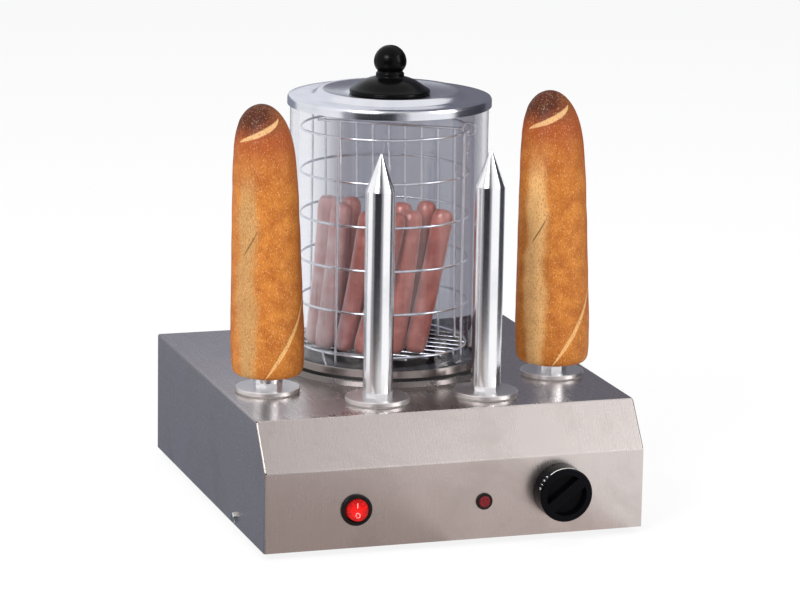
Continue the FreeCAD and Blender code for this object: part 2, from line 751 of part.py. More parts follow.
def lid_knob():
    """Saucer, collar and ball moulded in one, threaded from below."""
    seat = KNOB_SEAT
    dome = [(0, seat), (KNOB_SAUCER_R - 1, seat), (KNOB_SAUCER_R, seat + 1),
            (KNOB_SAUCER_R, seat + KNOB_RIM_H - 0.6), (KNOB_SAUCER_R - 0.6, seat + KNOB_RIM_H)]
    rise = KNOB_DOME_H - KNOB_RIM_H
    run = KNOB_SAUCER_R - 3 - KNOB_COLLAR_R
    steps = 6
    for i in range(steps + 1):
        a = math.radians(90 * i / steps)
        dome.append((KNOB_COLLAR_R + run * math.cos(a), seat + KNOB_RIM_H + rise * math.sin(a)))
    dome += [(KNOB_COLLAR_R, seat + KNOB_BALL_H), (0, seat + KNOB_BALL_H)]
    body = turned(dome, 0, AXIS_Y)
    body = body.fuse(Part.makeSphere(KNOB_BALL_R, V(0, AXIS_Y, seat + KNOB_BALL_H)))
    return body.cut(disc(0, AXIS_Y, seat - 1, M5, KNOB_SCREW_L + 1))


def lid_washer():
    return ring(0, AXIS_Y, KNOB_SEAT - LID_T - WASHER_T, M5 + HOLE_FIT, WASHER_R, WASHER_T)


def lid_screw():
    return screw(V(0, AXIS_Y, KNOB_SEAT - LID_T - WASHER_T), UP, M5, KNOB_SCREW_L)


# ---- spikes ----
def spike(x, y):
    """Turned aluminium spike with an octagonal neck, a stub below and a bore for its heater."""
    top = DECK + SPIKE_SHOULDER
    tip = SPIKE_TIP
    body = turned([(0, SPIKE_FOOT), (SPIKE_R, SPIKE_FOOT), (SPIKE_R, top), (SPIKE_TIP_R, tip - 0.4),
                   (SPIKE_TIP_R / 2, tip), (0, tip)], x, y)
    corner = NECK_FLAT / math.cos(math.radians(22.5))
    octagon = [V(x + corner * math.cos(math.radians(22.5 + 45 * i)),
                 y + corner * math.sin(math.radians(22.5 + 45 * i)), SPIKE_FOOT) for i in range(8)]
    neck = disc(x, y, SPIKE_FOOT, SPIKE_R + 5, NECK_H).cut(prism(octagon, V(0, 0, NECK_H)))
    body = body.cut(neck)
    body = body.fuse(disc(x, y, SPIKE_FOOT - STUB_L, STUB_R, STUB_L + 1))
    bore = DECK + CARTRIDGE_TOP - SPIKE_FOOT + STUB_L
    return body.cut(disc(x, y, SPIKE_FOOT - STUB_L, CARTRIDGE_R + CARTRIDGE_GAP, bore)).removeSplitter()


def spike_flange(x, y):
    body = disc(x, y, DECK + SPIKE_SEAL_T, FLANGE_DISC_R, FLANGE_DISC_T)
    top = [e for e in body.Edges if abs(e.CenterOfMass.z - SPIKE_FOOT) < 0.01]
    body = body.makeChamfer(0.5, top)
    return body.cut(disc(x, y, DECK, STUB_R + HOLE_FIT, FLANGE_DISC_T + 3))


def spike_seals():
    return group([ring(x, y, DECK, STUB_R + HOLE_FIT, FLANGE_DISC_R - 0.5, SPIKE_SEAL_T)
                  for x, y in SPIKES.values()])


def spike_nuts():
    """Washer and nut under the deck for each spike."""
    made = []
    under = DECK - SHEET
    for x, y in SPIKES.values():
        made.append(ring(x, y, under - SPIKE_WASHER_T, STUB_R + HOLE_FIT, SPIKE_WASHER_R,
                         SPIKE_WASHER_T))
        high = under - SPIKE_WASHER_T
        body = hexagon(V(x, y, high), SPIKE_NUT_R, V(0, 0, -SPIKE_NUT_H))
        made.append(body.cut(disc(x, y, high - SPIKE_NUT_H - 1, STUB_R, SPIKE_NUT_H + 2)))
    return group(made)


def spike_heaters():
    """Cartridge heater in the bore of each spike, with its ceramic cap below the stub."""
    made = []
    foot = SPIKE_FOOT - STUB_L
    for x, y in SPIKES.values():
        cap = disc(x, y, foot - CARTRIDGE_CAP_H, CARTRIDGE_CAP_R, CARTRIDGE_CAP_H)
        rod_up = disc(x, y, foot, CARTRIDGE_R, DECK + CARTRIDGE_TOP - foot - 2)
        made.append(cap.fuse(rod_up))
    return group(made)


def bun(x, y, size, lift):
    """Plain outer shape of a bun, bored to go over its spike."""
    foot = DECK + lift
    top = foot + BUN_H * size
    base_r = BUN_BASE_R * size
    top_r = BUN_TOP_R * size
    wall = [(0, foot), (base_r - 5, foot), (base_r, foot + 6), (base_r, foot + BUN_H * 0.3)]
    dome_h = top_r * 1.5
    wall.append((top_r, top - dome_h))
    steps = 6
    for i in range(1, steps):
        a = math.radians(90 * i / steps)
        wall.append((top_r * math.cos(a), top - dome_h + dome_h * math.sin(a)))
    wall.append((0, top))
    r = SPIKE_R + BUN_FIT
    shoulder = DECK + SPIKE_SHOULDER + BUN_FIT
    hollow = turned([(0, foot - 1), (r, foot - 1), (r, shoulder),
                     (SPIKE_TIP_R + BUN_FIT, SPIKE_TIP + BUN_FIT), (0, SPIKE_TIP + BUN_FIT)], x, y)
    return turned(wall, x, y).cut(hollow)


# ---- front controls ----
def switch_body():
    """Round switch: bezel in front of the sheet, hollow barrel behind it, three tabs."""
    z = BASE + SWITCH_Z
    front = FRONT - SWITCH_BEZEL_T
    bezel = rod_y(SWITCH_X, front, z, SWITCH_BEZEL_R, SWITCH_BEZEL_T)
    lip = [e for e in bezel.Edges if abs(e.CenterOfMass.y - front) < 0.01]
    bezel = bezel.makeFillet(1.2, lip)
    barrel = rod_y(SWITCH_X, FRONT, z, SWITCH_BARREL_R, SWITCH_BARREL_L)
    well = rod_y(SWITCH_X, front - 1, z, ROCKER_R + ROCKER_GAP, ROCKER_DEPTH + SWITCH_BEZEL_T + 3)
    body = bezel.fuse(barrel).cut(well)
    reach = SWITCH_BARREL_R - ROCKER_PIN_END + SHAFT_FIT
    body = body.cut(Part.makeCylinder(ROCKER_PIN_R + SHAFT_FIT, 2 * reach,
                                      V(SWITCH_X - reach, front + ROCKER_PIN_DEPTH, z), RIGHT))
    tabs = [block(SWITCH_X - 3, SWITCH_X + 3, FRONT + SWITCH_BARREL_L, FRONT + SWITCH_BARREL_L + 8,
                  z + off - 0.4, z + off + 0.4) for off in (-6, 0, 6)]
    return body.fuse(tabs)


def rocker():
    """Rocker with two flat faces in a shallow V, turning on a pin across the switch."""
    z = BASE + SWITCH_Z
    front = FRONT - SWITCH_BEZEL_T
    pin_y = front + ROCKER_PIN_DEPTH
    back = pin_y + ROCKER_DEPTH - ROCKER_PIN_DEPTH
    slack = ROCKER_R * math.tan(math.radians(ROCKER_TILT))
    middle = front - ROCKER_PROUD + slack
    spread = ROCKER_R * 0.97
    outline = [
        V(SWITCH_X - ROCKER_R - 1, middle, z),
        V(SWITCH_X - ROCKER_R - 1, middle - slack, z + spread),
        V(SWITCH_X - ROCKER_R - 1, pin_y, z + spread),
        V(SWITCH_X - ROCKER_R - 1, back, z + spread * 0.45),
        V(SWITCH_X - ROCKER_R - 1, back, z - spread * 0.45),
        V(SWITCH_X - ROCKER_R - 1, pin_y, z - spread),
        V(SWITCH_X - ROCKER_R - 1, middle - slack, z - spread),
    ]
    wedge = prism(outline, V(2 * ROCKER_R + 2, 0, 0))
    body = wedge.common(rod_y(SWITCH_X, front - CUT, z, ROCKER_R - 0.1, ROCKER_DEPTH + 3 * CUT))
    reach = SWITCH_BARREL_R - ROCKER_PIN_END
    body = body.fuse(Part.makeCylinder(ROCKER_PIN_R, 2 * reach, V(SWITCH_X - reach, pin_y, z), RIGHT))
    body.rotate(V(SWITCH_X, pin_y, z), RIGHT, -ROCKER_TILT)
    return body


def lamp_ring():
    """Lamp housing: thin ring in front of the sheet and a barrel through it."""
    z = BASE + LAMP_Z
    front = FRONT - LAMP_RING_T
    body = rod_y(LAMP_X, front, z, LAMP_RING_R, LAMP_RING_T)
    edge = [e for e in body.Edges if abs(e.CenterOfMass.y - front) < 0.01]
    body = body.makeFillet(0.7, edge)
    body = body.fuse(rod_y(LAMP_X, FRONT, z, LAMP_BARREL_R, LAMP_BARREL_L))
    seat = rod_y(LAMP_X, front - 1, z, LAMP_LENS_R, LAMP_RING_T + 3)
    tabs = [block(LAMP_X + off - 0.4, LAMP_X + off + 0.4, FRONT + LAMP_BARREL_L,
                  FRONT + LAMP_BARREL_L + 7, z - 1.5, z + 1.5) for off in (-2.5, 2.5)]
    return body.cut(seat).fuse(tabs)


def lamp_lens():
    z = BASE + LAMP_Z
    front = FRONT - LAMP_RING_T
    body = rod_y(LAMP_X, front - LAMP_LENS_RISE, z, LAMP_LENS_R, LAMP_RING_T + 2 + LAMP_LENS_RISE)
    edge = [e for e in body.Edges if abs(e.CenterOfMass.y - front + LAMP_LENS_RISE) < 0.01]
    return body.makeFillet(LAMP_LENS_RISE * 0.9, edge)


def lamp_nut():
    z = BASE + LAMP_Z
    body = hexagon(V(LAMP_X, FRONT + SHEET, z), LAMP_NUT_R, V(0, LAMP_NUT_T, 0))
    return body.cut(rod_y(LAMP_X, FRONT, z, LAMP_BARREL_R, LAMP_NUT_T + 4))


def dial_bar_box(half_w, y0, y1):
    """Bar across the dial at its angle, clipped later to the knob."""
    bar = block(-DIAL_R, DIAL_R, y0, y1, -half_w, half_w)
    bar.rotate(V(0, 0, 0), BACK, -DIAL_BAR_ANGLE)
    bar.translate(V(DIAL_X, 0, BASE + DIAL_Z))
    return bar


def thermostat_knob():
    """Cup-shaped knob: outer rim, recessed face, a grip bar across it and a boss behind."""
    z = BASE + DIAL_Z
    front = FRONT - DIAL_OUT
    back = FRONT - DIAL_GAP
    skin = rod_y(DIAL_X, front, z, DIAL_R, back - front)
    edge = [e for e in skin.Edges if abs(e.CenterOfMass.y - front) < 0.01]
    skin = skin.makeFillet(DIAL_EDGE, edge)
    face = front + DIAL_RECESS
    recess = rod_y(DIAL_X, front - 1, z, DIAL_R - DIAL_RIM, DIAL_RECESS + 1)
    hollow = rod_y(DIAL_X, face + DIAL_WALL, z, DIAL_R - DIAL_WALL, DIAL_OUT)
    bar = dial_bar_box(DIAL_BAR_W / 2, front, face + 1)
    bar = bar.common(rod_y(DIAL_X, front - 1, z, DIAL_R - DIAL_RIM / 2, DIAL_OUT))
    boss = rod_y(DIAL_X, face + 1, z, DIAL_BOSS_R, DIAL_WALL - 1 + SHAFT_GRIP)
    body = skin.cut([recess, hollow]).fuse([bar, boss])
    return body.cut(shaft_bar(face + DIAL_WALL, SHAFT_GRIP + DIAL_OUT))


def shaft_bar(start, length):
    """Round bar with a flat along it."""
    z = BASE + DIAL_Z
    body = rod_y(DIAL_X, start, z, SHAFT_R, length)
    flat = block(DIAL_X - SHAFT_R - 1, DIAL_X + SHAFT_R + 1, start - 1, start + length + 1,
                 z + SHAFT_R - SHAFT_FLAT, z + SHAFT_R + 1)
    return body.cut(flat)


def thermostat_shaft():
    """Shaft with a flat in the knob, round in the bush of the thermostat."""
    z = BASE + DIAL_Z
    start = FRONT - DIAL_OUT + DIAL_RECESS + DIAL_WALL
    grip_end = start + SHAFT_GRIP
    end = FRONT + SHEET + THERMO_PLATE_T + THERMO_D / 2
    return shaft_bar(start, SHAFT_GRIP).fuse(rod_y(DIAL_X, grip_end, z, SHAFT_R, end - grip_end))


def thermostat_body():
    """Thermostat behind the front face: plate, box, bush and terminal tabs."""
    z = BASE + DIAL_Z
    y0 = FRONT + SHEET
    plate = block(DIAL_X - THERMO_W / 2, DIAL_X + THERMO_W / 2, y0, y0 + THERMO_PLATE_T,
                  z - THERMO_H / 2 + 8, z + THERMO_H / 2 - 8)
    case = block(DIAL_X - THERMO_W / 2 + 7, DIAL_X + THERMO_W / 2 - 7, y0 + THERMO_PLATE_T,
                 y0 + THERMO_PLATE_T + THERMO_D, z - THERMO_H / 2, z + THERMO_H / 2)
    bush = rod_y(DIAL_X, FRONT - 3, z, BUSH_R, 3 + SHEET + THERMO_PLATE_T)
    tabs = [block(DIAL_X + off - 3, DIAL_X + off + 3, y0 + THERMO_PLATE_T + THERMO_D,
                  y0 + THERMO_PLATE_T + THERMO_D + 7, z - 8.4, z - 7.6) for off in (-8, 8)]
    body = plate.fuse([case, bush] + tabs)
    bore = rod_y(DIAL_X, FRONT - 5, z, SHAFT_R + SHAFT_FIT, 5 + SHEET + THERMO_PLATE_T + THERMO_D / 2 + 1)
    holes = [rod_y(DIAL_X + side * THERMO_SCREWS / 2, FRONT, z, M3, THERMO_SCREW_L)
             for side in (-1, 1)]
    return body.cut([bore] + holes)


def thermostat_screws():
    z = BASE + DIAL_Z
    return group([screw(V(DIAL_X + side * THERMO_SCREWS / 2, FRONT, z), BACK, M3, THERMO_SCREW_L)
                  for side in (-1, 1)])


def bulb_place():
    return V(WELL_OUT + BULB_R + HOLE_FIT, AXIS_Y - BULB_L / 2, (WELL_FLOOR + DECK) / 2)


def thermostat_bulb():
    """Sensing bulb lying against the wall of the well."""
    spot = bulb_place()
    body = rod_y(spot.x, spot.y, spot.z, BULB_R, BULB_L)
    ends = [e for e in body.Edges if e.Length > 6 * BULB_R and len(e.Vertexes) == 1]
    return body.makeFillet(BULB_R * 0.6, ends)


def capillary():
    """Fine tube from the bulb to the back of the thermostat."""
    start = bulb_place()
    end = V(DIAL_X, FRONT + SHEET + THERMO_PLATE_T + THERMO_D, BASE + DIAL_Z + 6)
    gap = start.y - end.y
    points = [
        start,
        start + V(0, -gap * 0.3, 0),
        end + V(0, gap * 0.3, 0),
        end,
    ]
    return wire_along(points, gap * 0.25, CAPILLARY_R)


# ---- mains entry ----
def cord_gland():
    """Gland through the back panel: thread inside, hexagon and domed cap outside."""
    z = BASE + GLAND_Z
    thread = rod_y(GLAND_X, REAR - SHEET - GLAND_THREAD_L, z, GLAND_THREAD_R, GLAND_THREAD_L + SHEET)
    grip = hexagon(V(GLAND_X, REAR, z), GLAND_HEX_R, V(0, GLAND_HEX_T, 0))
    cap = rod_y(GLAND_X, REAR + GLAND_HEX_T, z, GLAND_CAP_R, GLAND_OUT - GLAND_HEX_T)
    end = [e for e in cap.Edges if abs(e.CenterOfMass.y - REAR - GLAND_OUT) < 0.01]
    cap = cap.makeFillet(4.0, end)
    body = thread.fuse([grip, cap])
    return body.cut(rod_y(GLAND_X, REAR - SHEET - GLAND_THREAD_L - 1, z, GLAND_BORE_R,
                          GLAND_THREAD_L + SHEET + GLAND_OUT + 2))


def gland_nut():
    z = BASE + GLAND_Z
    body = hexagon(V(GLAND_X, REAR - SHEET, z), GLAND_HEX_R, V(0, -GLAND_NUT_T, 0))
    start = REAR - SHEET - GLAND_NUT_T - CUT
    return body.cut(rod_y(GLAND_X, start, z, GLAND_THREAD_R, GLAND_NUT_T + 2 * CUT))


def terminal_block():
    """Three-way block on the bottom plate, with a wire bore and a clamp screw hole per way."""
    y = BLOCK_Y
    floor = BASE + SHEET
    body = block(BLOCK_X - BLOCK_W / 2, BLOCK_X + BLOCK_W / 2, y - BLOCK_D / 2, y + BLOCK_D / 2,
                 floor, floor + BLOCK_H)
    tools = [disc(BLOCK_X + side * BLOCK_SCREWS / 2, y, floor - 1, M3, BLOCK_H + 2) for side in (-1, 1)]
    pitch = (BLOCK_SCREWS - 8) / BLOCK_WAYS
    for i in range(BLOCK_WAYS):
        x = BLOCK_X + (i - (BLOCK_WAYS - 1) / 2) * pitch
        tools.append(rod_y(x, y - BLOCK_D, floor + BLOCK_H / 2, 1.6, 2 * BLOCK_D))
        tools.append(disc(x, y - BLOCK_D / 4, floor + BLOCK_H / 2, 1.6, BLOCK_H))
    return body.cut(tools)


def block_screws():
    top = BASE + SHEET + BLOCK_H
    return group([screw(V(BLOCK_X + side * BLOCK_SCREWS / 2, BLOCK_Y, top), -UP, M3,
                        BLOCK_H + SHEET) for side in (-1, 1)])


def earth_stud():
    y = BLOCK_Y
    return group([disc(EARTH_X, y, BASE, M5, EARTH_L), nut(V(EARTH_X, y, BASE + SHEET), UP, M5)])


def parts():
    made = {
        "case_shell": case_shell(),
        "bottom_plate": bottom_plate(),
        "back_panel": back_panel(),
        "side_screws": side_screws(),
        "back_screws": back_screws(),
        "foot_screws": foot_screws(),
        "pan_seal": pan_seal(),
        "water_pan": water_pan(),
        "glass_seal": glass_seal(),
        "glass_cylinder": glass_cylinder(),
        "pan_heater": pan_heater(),
        "heater_posts": heater_posts(),
        "heater_clamp": heater_clamp(),
        "heater_studs": heater_studs(),
        "dry_boil_cutout": dry_boil_cutout(),
        "basket_hoops": basket_hoops(),
        "basket_legs": basket_legs(),
        "basket_divider": basket_divider(),
        "basket_floor": basket_floor(),
        "sausages": sausages(),
        "lid_shell": lid_shell(),
        "lid_knob": lid_knob(),
        "lid_washer": lid_washer(),
        "lid_screw": lid_screw(),
        "spike_seals": spike_seals(),
        "spike_nuts": spike_nuts(),
        "spike_heaters": spike_heaters(),
        "switch_body": switch_body(),
        "rocker": rocker(),
        "lamp_ring": lamp_ring(),
        "lamp_lens": lamp_lens(),
        "lamp_nut": lamp_nut(),
        "thermostat_knob": thermostat_knob(),
        "thermostat_shaft": thermostat_shaft(),
        "thermostat_body": thermostat_body(),
        "thermostat_screws": thermostat_screws(),
        "thermostat_bulb": thermostat_bulb(),
        "capillary": capillary(),
        "cord_gland": cord_gland(),
        "gland_nut": gland_nut(),
        "terminal_block": terminal_block(),
        "block_screws": block_screws(),
        "earth_stud": earth_stud(),
    }
    for name, spot in feet_places().items():
        made["foot_" + name] = rubber_foot(spot)
    for name, (x, y) in SPIKES.items():
        made["spike_" + name] = spike(x, y)
        made["flange_" + name] = spike_flange(x, y)
    for side, (size, lift) in BUNS.items():
        x, y = SPIKES[side + "_outer"]
        made["bun_" + side] = bun(x, y, size, lift)
    return made


os.makedirs("parts", exist_ok=True)
for node, shape in parts().items():
    shape.exportStep("parts/" + node + ".step")
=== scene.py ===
# %% [markdown]
# # A counter-top hot dog steamer
#
# The machine is a folded stainless case with a glass cylinder on its deck, a wire basket of
# sausages in the cylinder, and four heated aluminium spikes for buns. The metalwork is already
# built: it comes in as a frame of named parts, each at its real size and place. This lesson gives
# every part its finish, and models the things that are soft, spun or moulded by hand.

# %% Load the built parts
import bpy
import json
import math
from mathutils import Matrix, Vector


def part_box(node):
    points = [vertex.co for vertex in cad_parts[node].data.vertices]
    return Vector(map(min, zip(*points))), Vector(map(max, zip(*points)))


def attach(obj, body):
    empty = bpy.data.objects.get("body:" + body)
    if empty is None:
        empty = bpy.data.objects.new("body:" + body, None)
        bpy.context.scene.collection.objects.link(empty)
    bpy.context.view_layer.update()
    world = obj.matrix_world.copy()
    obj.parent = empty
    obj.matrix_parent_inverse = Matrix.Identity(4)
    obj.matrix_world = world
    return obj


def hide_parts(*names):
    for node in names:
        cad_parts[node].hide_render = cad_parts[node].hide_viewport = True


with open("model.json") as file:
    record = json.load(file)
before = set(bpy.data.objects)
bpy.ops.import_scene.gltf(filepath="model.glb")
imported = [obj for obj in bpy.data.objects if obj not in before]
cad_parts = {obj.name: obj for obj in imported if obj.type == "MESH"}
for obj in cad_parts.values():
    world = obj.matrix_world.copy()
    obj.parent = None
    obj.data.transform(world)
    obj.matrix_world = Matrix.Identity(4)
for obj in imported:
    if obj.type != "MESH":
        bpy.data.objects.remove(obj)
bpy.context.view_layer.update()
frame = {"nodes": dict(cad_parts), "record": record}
nodes = frame["nodes"]

# %% [markdown]
# ## Sizes
#
# Lengths are in metres and heights are above the table. Places are read from the built parts, so
# that a piece made here sits on the part that carries it.

# %% Places read from the parts
MM = 0.001


def box_of(name):
    """Lowest and highest corner of a built part."""
    low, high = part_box(name)
    return Vector(low), Vector(high)


def middle(name):
    low, high = box_of(name)
    return (low + high) / 2


def round_size(name):
    """Radius of a round part, from its width."""
    low, high = box_of(name)
    return (high.x - low.x) / 2


case_low, case_high = box_of("case_shell")
glass_axis = middle("glass_cylinder")
glass_r = round_size("glass_cylinder")
deck = case_high.z
front = case_low.y
print("deck height %.1f mm, glass radius %.1f mm" % (deck / MM, glass_r / MM))

# %% [markdown]
# ## The camera
#
# The machine is seen from its front left corner and a little from above, through a long lens, so
# upright edges stay nearly parallel. The view is given by its two angles, the distance and the
# point that it looks at; a slight roll tilts the frame as a hand-held camera would.

# %% Camera
VIEW_TURN = math.radians(18.10)     # the camera stands to the left of straight ahead
VIEW_DOWN = math.radians(12.51)
VIEW_ROLL = math.radians(0.99)
VIEW_DISTANCE = 2.765
VIEW_POINT = Vector((0.0030, -0.0080, 0.1514))
LENS = 164.34                       # millimetres, on a sensor 36 mm wide
SENSOR = 36.0
CLIP_NEAR = 0.1
CLIP_FAR = 60.0


def new_piece(add, name, **settings):
    """Runs an adding operator with nothing else selected, and names what it adds."""
    bpy.ops.object.select_all(action="DESELECT")
    add(**settings)
    piece = bpy.context.object
    piece.name = name
    return piece


def add_camera():
    ahead = Vector((math.sin(VIEW_TURN) * math.cos(VIEW_DOWN),
                    math.cos(VIEW_TURN) * math.cos(VIEW_DOWN),
                    -math.sin(VIEW_DOWN)))
    place = VIEW_POINT - ahead * VIEW_DISTANCE
    camera = new_piece(bpy.ops.object.camera_add, "camera", location=place)
    turn = ahead.to_track_quat("-Z", "Y").to_matrix() @ Matrix.Rotation(VIEW_ROLL, 3, "Z")
    camera.rotation_euler = turn.to_euler()
    camera.data.lens = LENS
    camera.data.sensor_width = SENSOR
    camera.data.clip_start = CLIP_NEAR
    camera.data.clip_end = CLIP_FAR
    bpy.context.scene.camera = camera


add_camera()
across = Vector((math.cos(VIEW_TURN), -math.sin(VIEW_TURN), 0))     # to the right in the view
print("camera %.2f m from the machine" % VIEW_DISTANCE)

# %% [markdown]
# ## Shader maths
#
# Finishes are made of patterns, and patterns are sums. An `Amount` wraps one node socket; adding,
# multiplying or comparing two of them adds a Math node. `Nodes` is one tree of nodes: its `node`
# method makes every other node, with the node's settings first and its inputs after. A `Finish` is
# the tree of one material.

# %% Amount: a number that changes over a surface
class Amount:
    def __init__(self, nodes, socket):
        self.nodes = nodes
        self.socket = socket

    def maths(self, operation, *others):
        return self.nodes.node("ShaderNodeMath", {"operation": operation}, dict(enumerate(others)))

    def __add__(self, other):
        return self.maths("ADD", self, other)

    def __sub__(self, other):
        return self.maths("SUBTRACT", self, other)

    def __mul__(self, other):
        return self.maths("MULTIPLY", self, other)

    def __truediv__(self, other):
        return self.maths("DIVIDE", self, other)

    def __pow__(self, other):
        return self.maths("POWER", self, other)

    def __rsub__(self, other):
        return self.maths("SUBTRACT", other, self)

    def __rtruediv__(self, other):
        return self.maths("DIVIDE", other, self)

    def __abs__(self):
        return self.maths("ABSOLUTE", self)

    __radd__ = __add__
    __rmul__ = __mul__

    def turn_from(self, other):
        """Angle whose sine goes with this amount and whose cosine goes with the other."""
        return self.maths("ARCTAN2", self, other)

    def least(self, other):
        return self.maths("MINIMUM", self, other)

    def most(self, other):
        return self.maths("MAXIMUM", self, other)

    def step(self, low, high):
        """0 below low, 1 above high, and smooth between."""
        settings = {"interpolation_type": "SMOOTHSTEP"}
        return self.nodes.node("ShaderNodeMapRange", settings,
                               {"Value": self, "From Min": low, "From Max": high})


print("an amount can:", [name for name in vars(Amount) if not name.startswith("_")])


# %% Nodes: one tree of nodes
class Nodes:
    def __init__(self, tree):
        self.tree = tree

    def node(self, kind, settings=None, inputs=None, out=0):
        made = self.tree.nodes.new(kind)
        for name, value in (settings or {}).items():
            setattr(made, name, value)
        for name, value in (inputs or {}).items():
            self.feed(made.inputs[name], value)
        return Amount(self, made.outputs[out])

    def feed(self, socket, value):
        if isinstance(value, Amount):
            self.tree.links.new(value.socket, socket)
        elif isinstance(value, (tuple, list)) and socket.type == "RGBA":
            socket.default_value = (*value, 1.0)
        else:
            socket.default_value = value

    def rays(self, *names):
        """1 for rays of any of the named kinds, and 0 for the others."""
        path = self.node("ShaderNodeLightPath").socket.node
        kinds = [Amount(self, path.outputs["Is " + name + " Ray"]) for name in names]
        any_kind = kinds[0]
        for kind in kinds[1:]:
            any_kind = any_kind.most(kind)
        return any_kind


print("a tree can:", [name for name in vars(Nodes) if not name.startswith("_")])


# %% Finish: the nodes of one material
class Finish(Nodes):
    def __init__(self, name):
        self.material = bpy.data.materials.new(name)
        self.material.use_nodes = True
        super().__init__(self.material.node_tree)
        self.shader = self.tree.nodes["Principled BSDF"]
        self.output = self.tree.nodes["Material Output"]

    def blend_shader(self, amount, second):
        """Shows the second shader in place of the first by the given amount."""
        first = Amount(self, self.shader.outputs[0])
        shown = self.node("ShaderNodeMixShader", {}, {0: amount, 1: first, 2: second})
        self.feed(self.output.inputs["Surface"], shown)

    def set(self, **inputs):
        for name, value in inputs.items():
            self.feed(self.shader.inputs[name.replace("_", " ")], value)

    def place(self, centre=(0, 0, 0), stretch=(1, 1, 1)):
        """Object coordinates from a centre, stretched along each axis."""
        here = self.node("ShaderNodeTexCoord", out="Object")
        moved = self.node("ShaderNodeVectorMath", {"operation": "SUBTRACT"},
                          {0: here, 1: Vector(centre)})
        return self.node("ShaderNodeMapping", {}, {"Vector": moved, "Scale": Vector(stretch)})

    def split(self, vector):
        parts = self.node("ShaderNodeSeparateXYZ", {}, {0: vector})
        outputs = parts.socket.node.outputs
        return [Amount(self, outputs[i]) for i in range(3)]

    def noise(self, vector, scale, detail=3.0, rough=0.5, distortion=0.0):
        return self.node("ShaderNodeTexNoise", {}, {"Vector": vector, "Scale": scale, "Detail": detail,
                                                    "Roughness": rough, "Distortion": distortion})

    def cells(self, vector, scale):
        return self.node("ShaderNodeTexVoronoi", {}, {"Vector": vector, "Scale": scale})

    def mix(self, amount, first, second, blend="MIX"):
        """Colour that goes from first to second."""
        return self.node("ShaderNodeMix", {"data_type": "RGBA", "blend_type": blend},
                         {0: amount, 6: first, 7: second}, out=2)

    def bump(self, height, strength, distance):
        return self.node("ShaderNodeBump", {},
                         {"Height": height, "Strength": strength, "Distance": distance})

    def facing(self):
        """How far the surface faces X, Y and Z, as three amounts from 0 to 1."""
        normal = self.node("ShaderNodeTexCoord", out="Normal")
        return [abs(part) for part in self.split(normal)]


def srgb(red, green, blue):
    """Colour as seen on a screen, 0 to 255, in the linear values that shaders use."""
    made = []
    for value in (red, green, blue):
        value = value / 255
        made.append(value / 12.92 if value <= 0.04045 else ((value + 0.055) / 1.055) ** 2.4)
    return tuple(made)


print("a finish can:", [name for name in vars(Finish) if not name.startswith("_")])

# %% [markdown]
# ## Brushed stainless steel
#
# The case is one sheet with its brushing running from the back of the deck over the fold and down
# the front, so the scratches lie along Y on the deck and along Z on the front. On the sides the
# same sheet is folded down, and the scratches run along Y again. Scratches are noise squeezed hard
# in one direction. Larger, weak clouds stand for smudges and the uneven polish of thin sheet. The
# deck is painted darker in a narrow ring round the foot of the glass: painted shade over its seat.

# %% Brushed sheet
ACROSS_GRAIN = 900            # how hard the noise is squeezed across and along the scratches
ALONG_GRAIN = 14
PAINTED_SHADE_REACH = 4.0 * MM
slots = {}


def brushed_sheet(name, colour, smudge, rough, painted_shade_ring=None):
    """Brushed steel, with a ring of painted shade round the glass at the given radius."""
    finish = Finish(name)
    place = finish.place()
    along = finish.noise(finish.place(stretch=(ACROSS_GRAIN, ALONG_GRAIN, ALONG_GRAIN)), 1.0, 4.0, 0.65)
    down = finish.noise(finish.place(stretch=(ALONG_GRAIN, ALONG_GRAIN, ACROSS_GRAIN)), 1.0, 4.0, 0.65)
    on_side = finish.facing()[0].step(0.6, 0.8)
    scratch = along + (down - along) * on_side
    clouds = finish.noise(place, 16.0, 5.0, 0.6, 0.6)
    spots = finish.noise(place, 120.0, 3.0, 0.5)
    dirt = (clouds.step(0.42, 0.75) + spots.step(0.62, 0.8) * 0.35).least(1.0)
    tone = finish.mix(dirt * 0.5, colour, smudge)
    if painted_shade_ring is not None:
        # painted shade: a darker ring on the deck round the foot of the glass
        x, y = finish.split(finish.place(centre=glass_axis))[:2]
        near = 1.0 - abs((x * x + y * y) ** 0.5 - painted_shade_ring) / PAINTED_SHADE_REACH
        tone = finish.mix(near.step(0.2, 0.6) * 0.8, tone, srgb(84, 78, 78))
    streak = (scratch - 0.5) * 0.5 + 0.5
    finish.set(Base_Color=finish.mix(streak * 0.35, tone, (0.95, 0.95, 0.95), "MULTIPLY"),
               Metallic=1.0,
               Roughness=(rough + (clouds - 0.5) * 0.18 + (scratch - 0.5) * 0.12).most(0.08),
               Normal=finish.bump(scratch, 0.12, 0.2 * MM))
    return finish.material


slots["case_steel"] = brushed_sheet("case_steel", srgb(210, 201, 198), srgb(174, 164, 160), 0.27,
                                    painted_shade_ring=glass_r + 4.5 * MM)
slots["panel_steel"] = brushed_sheet("panel_steel", srgb(176, 176, 178), srgb(146, 146, 148), 0.36)
print("brushed:", list(slots))
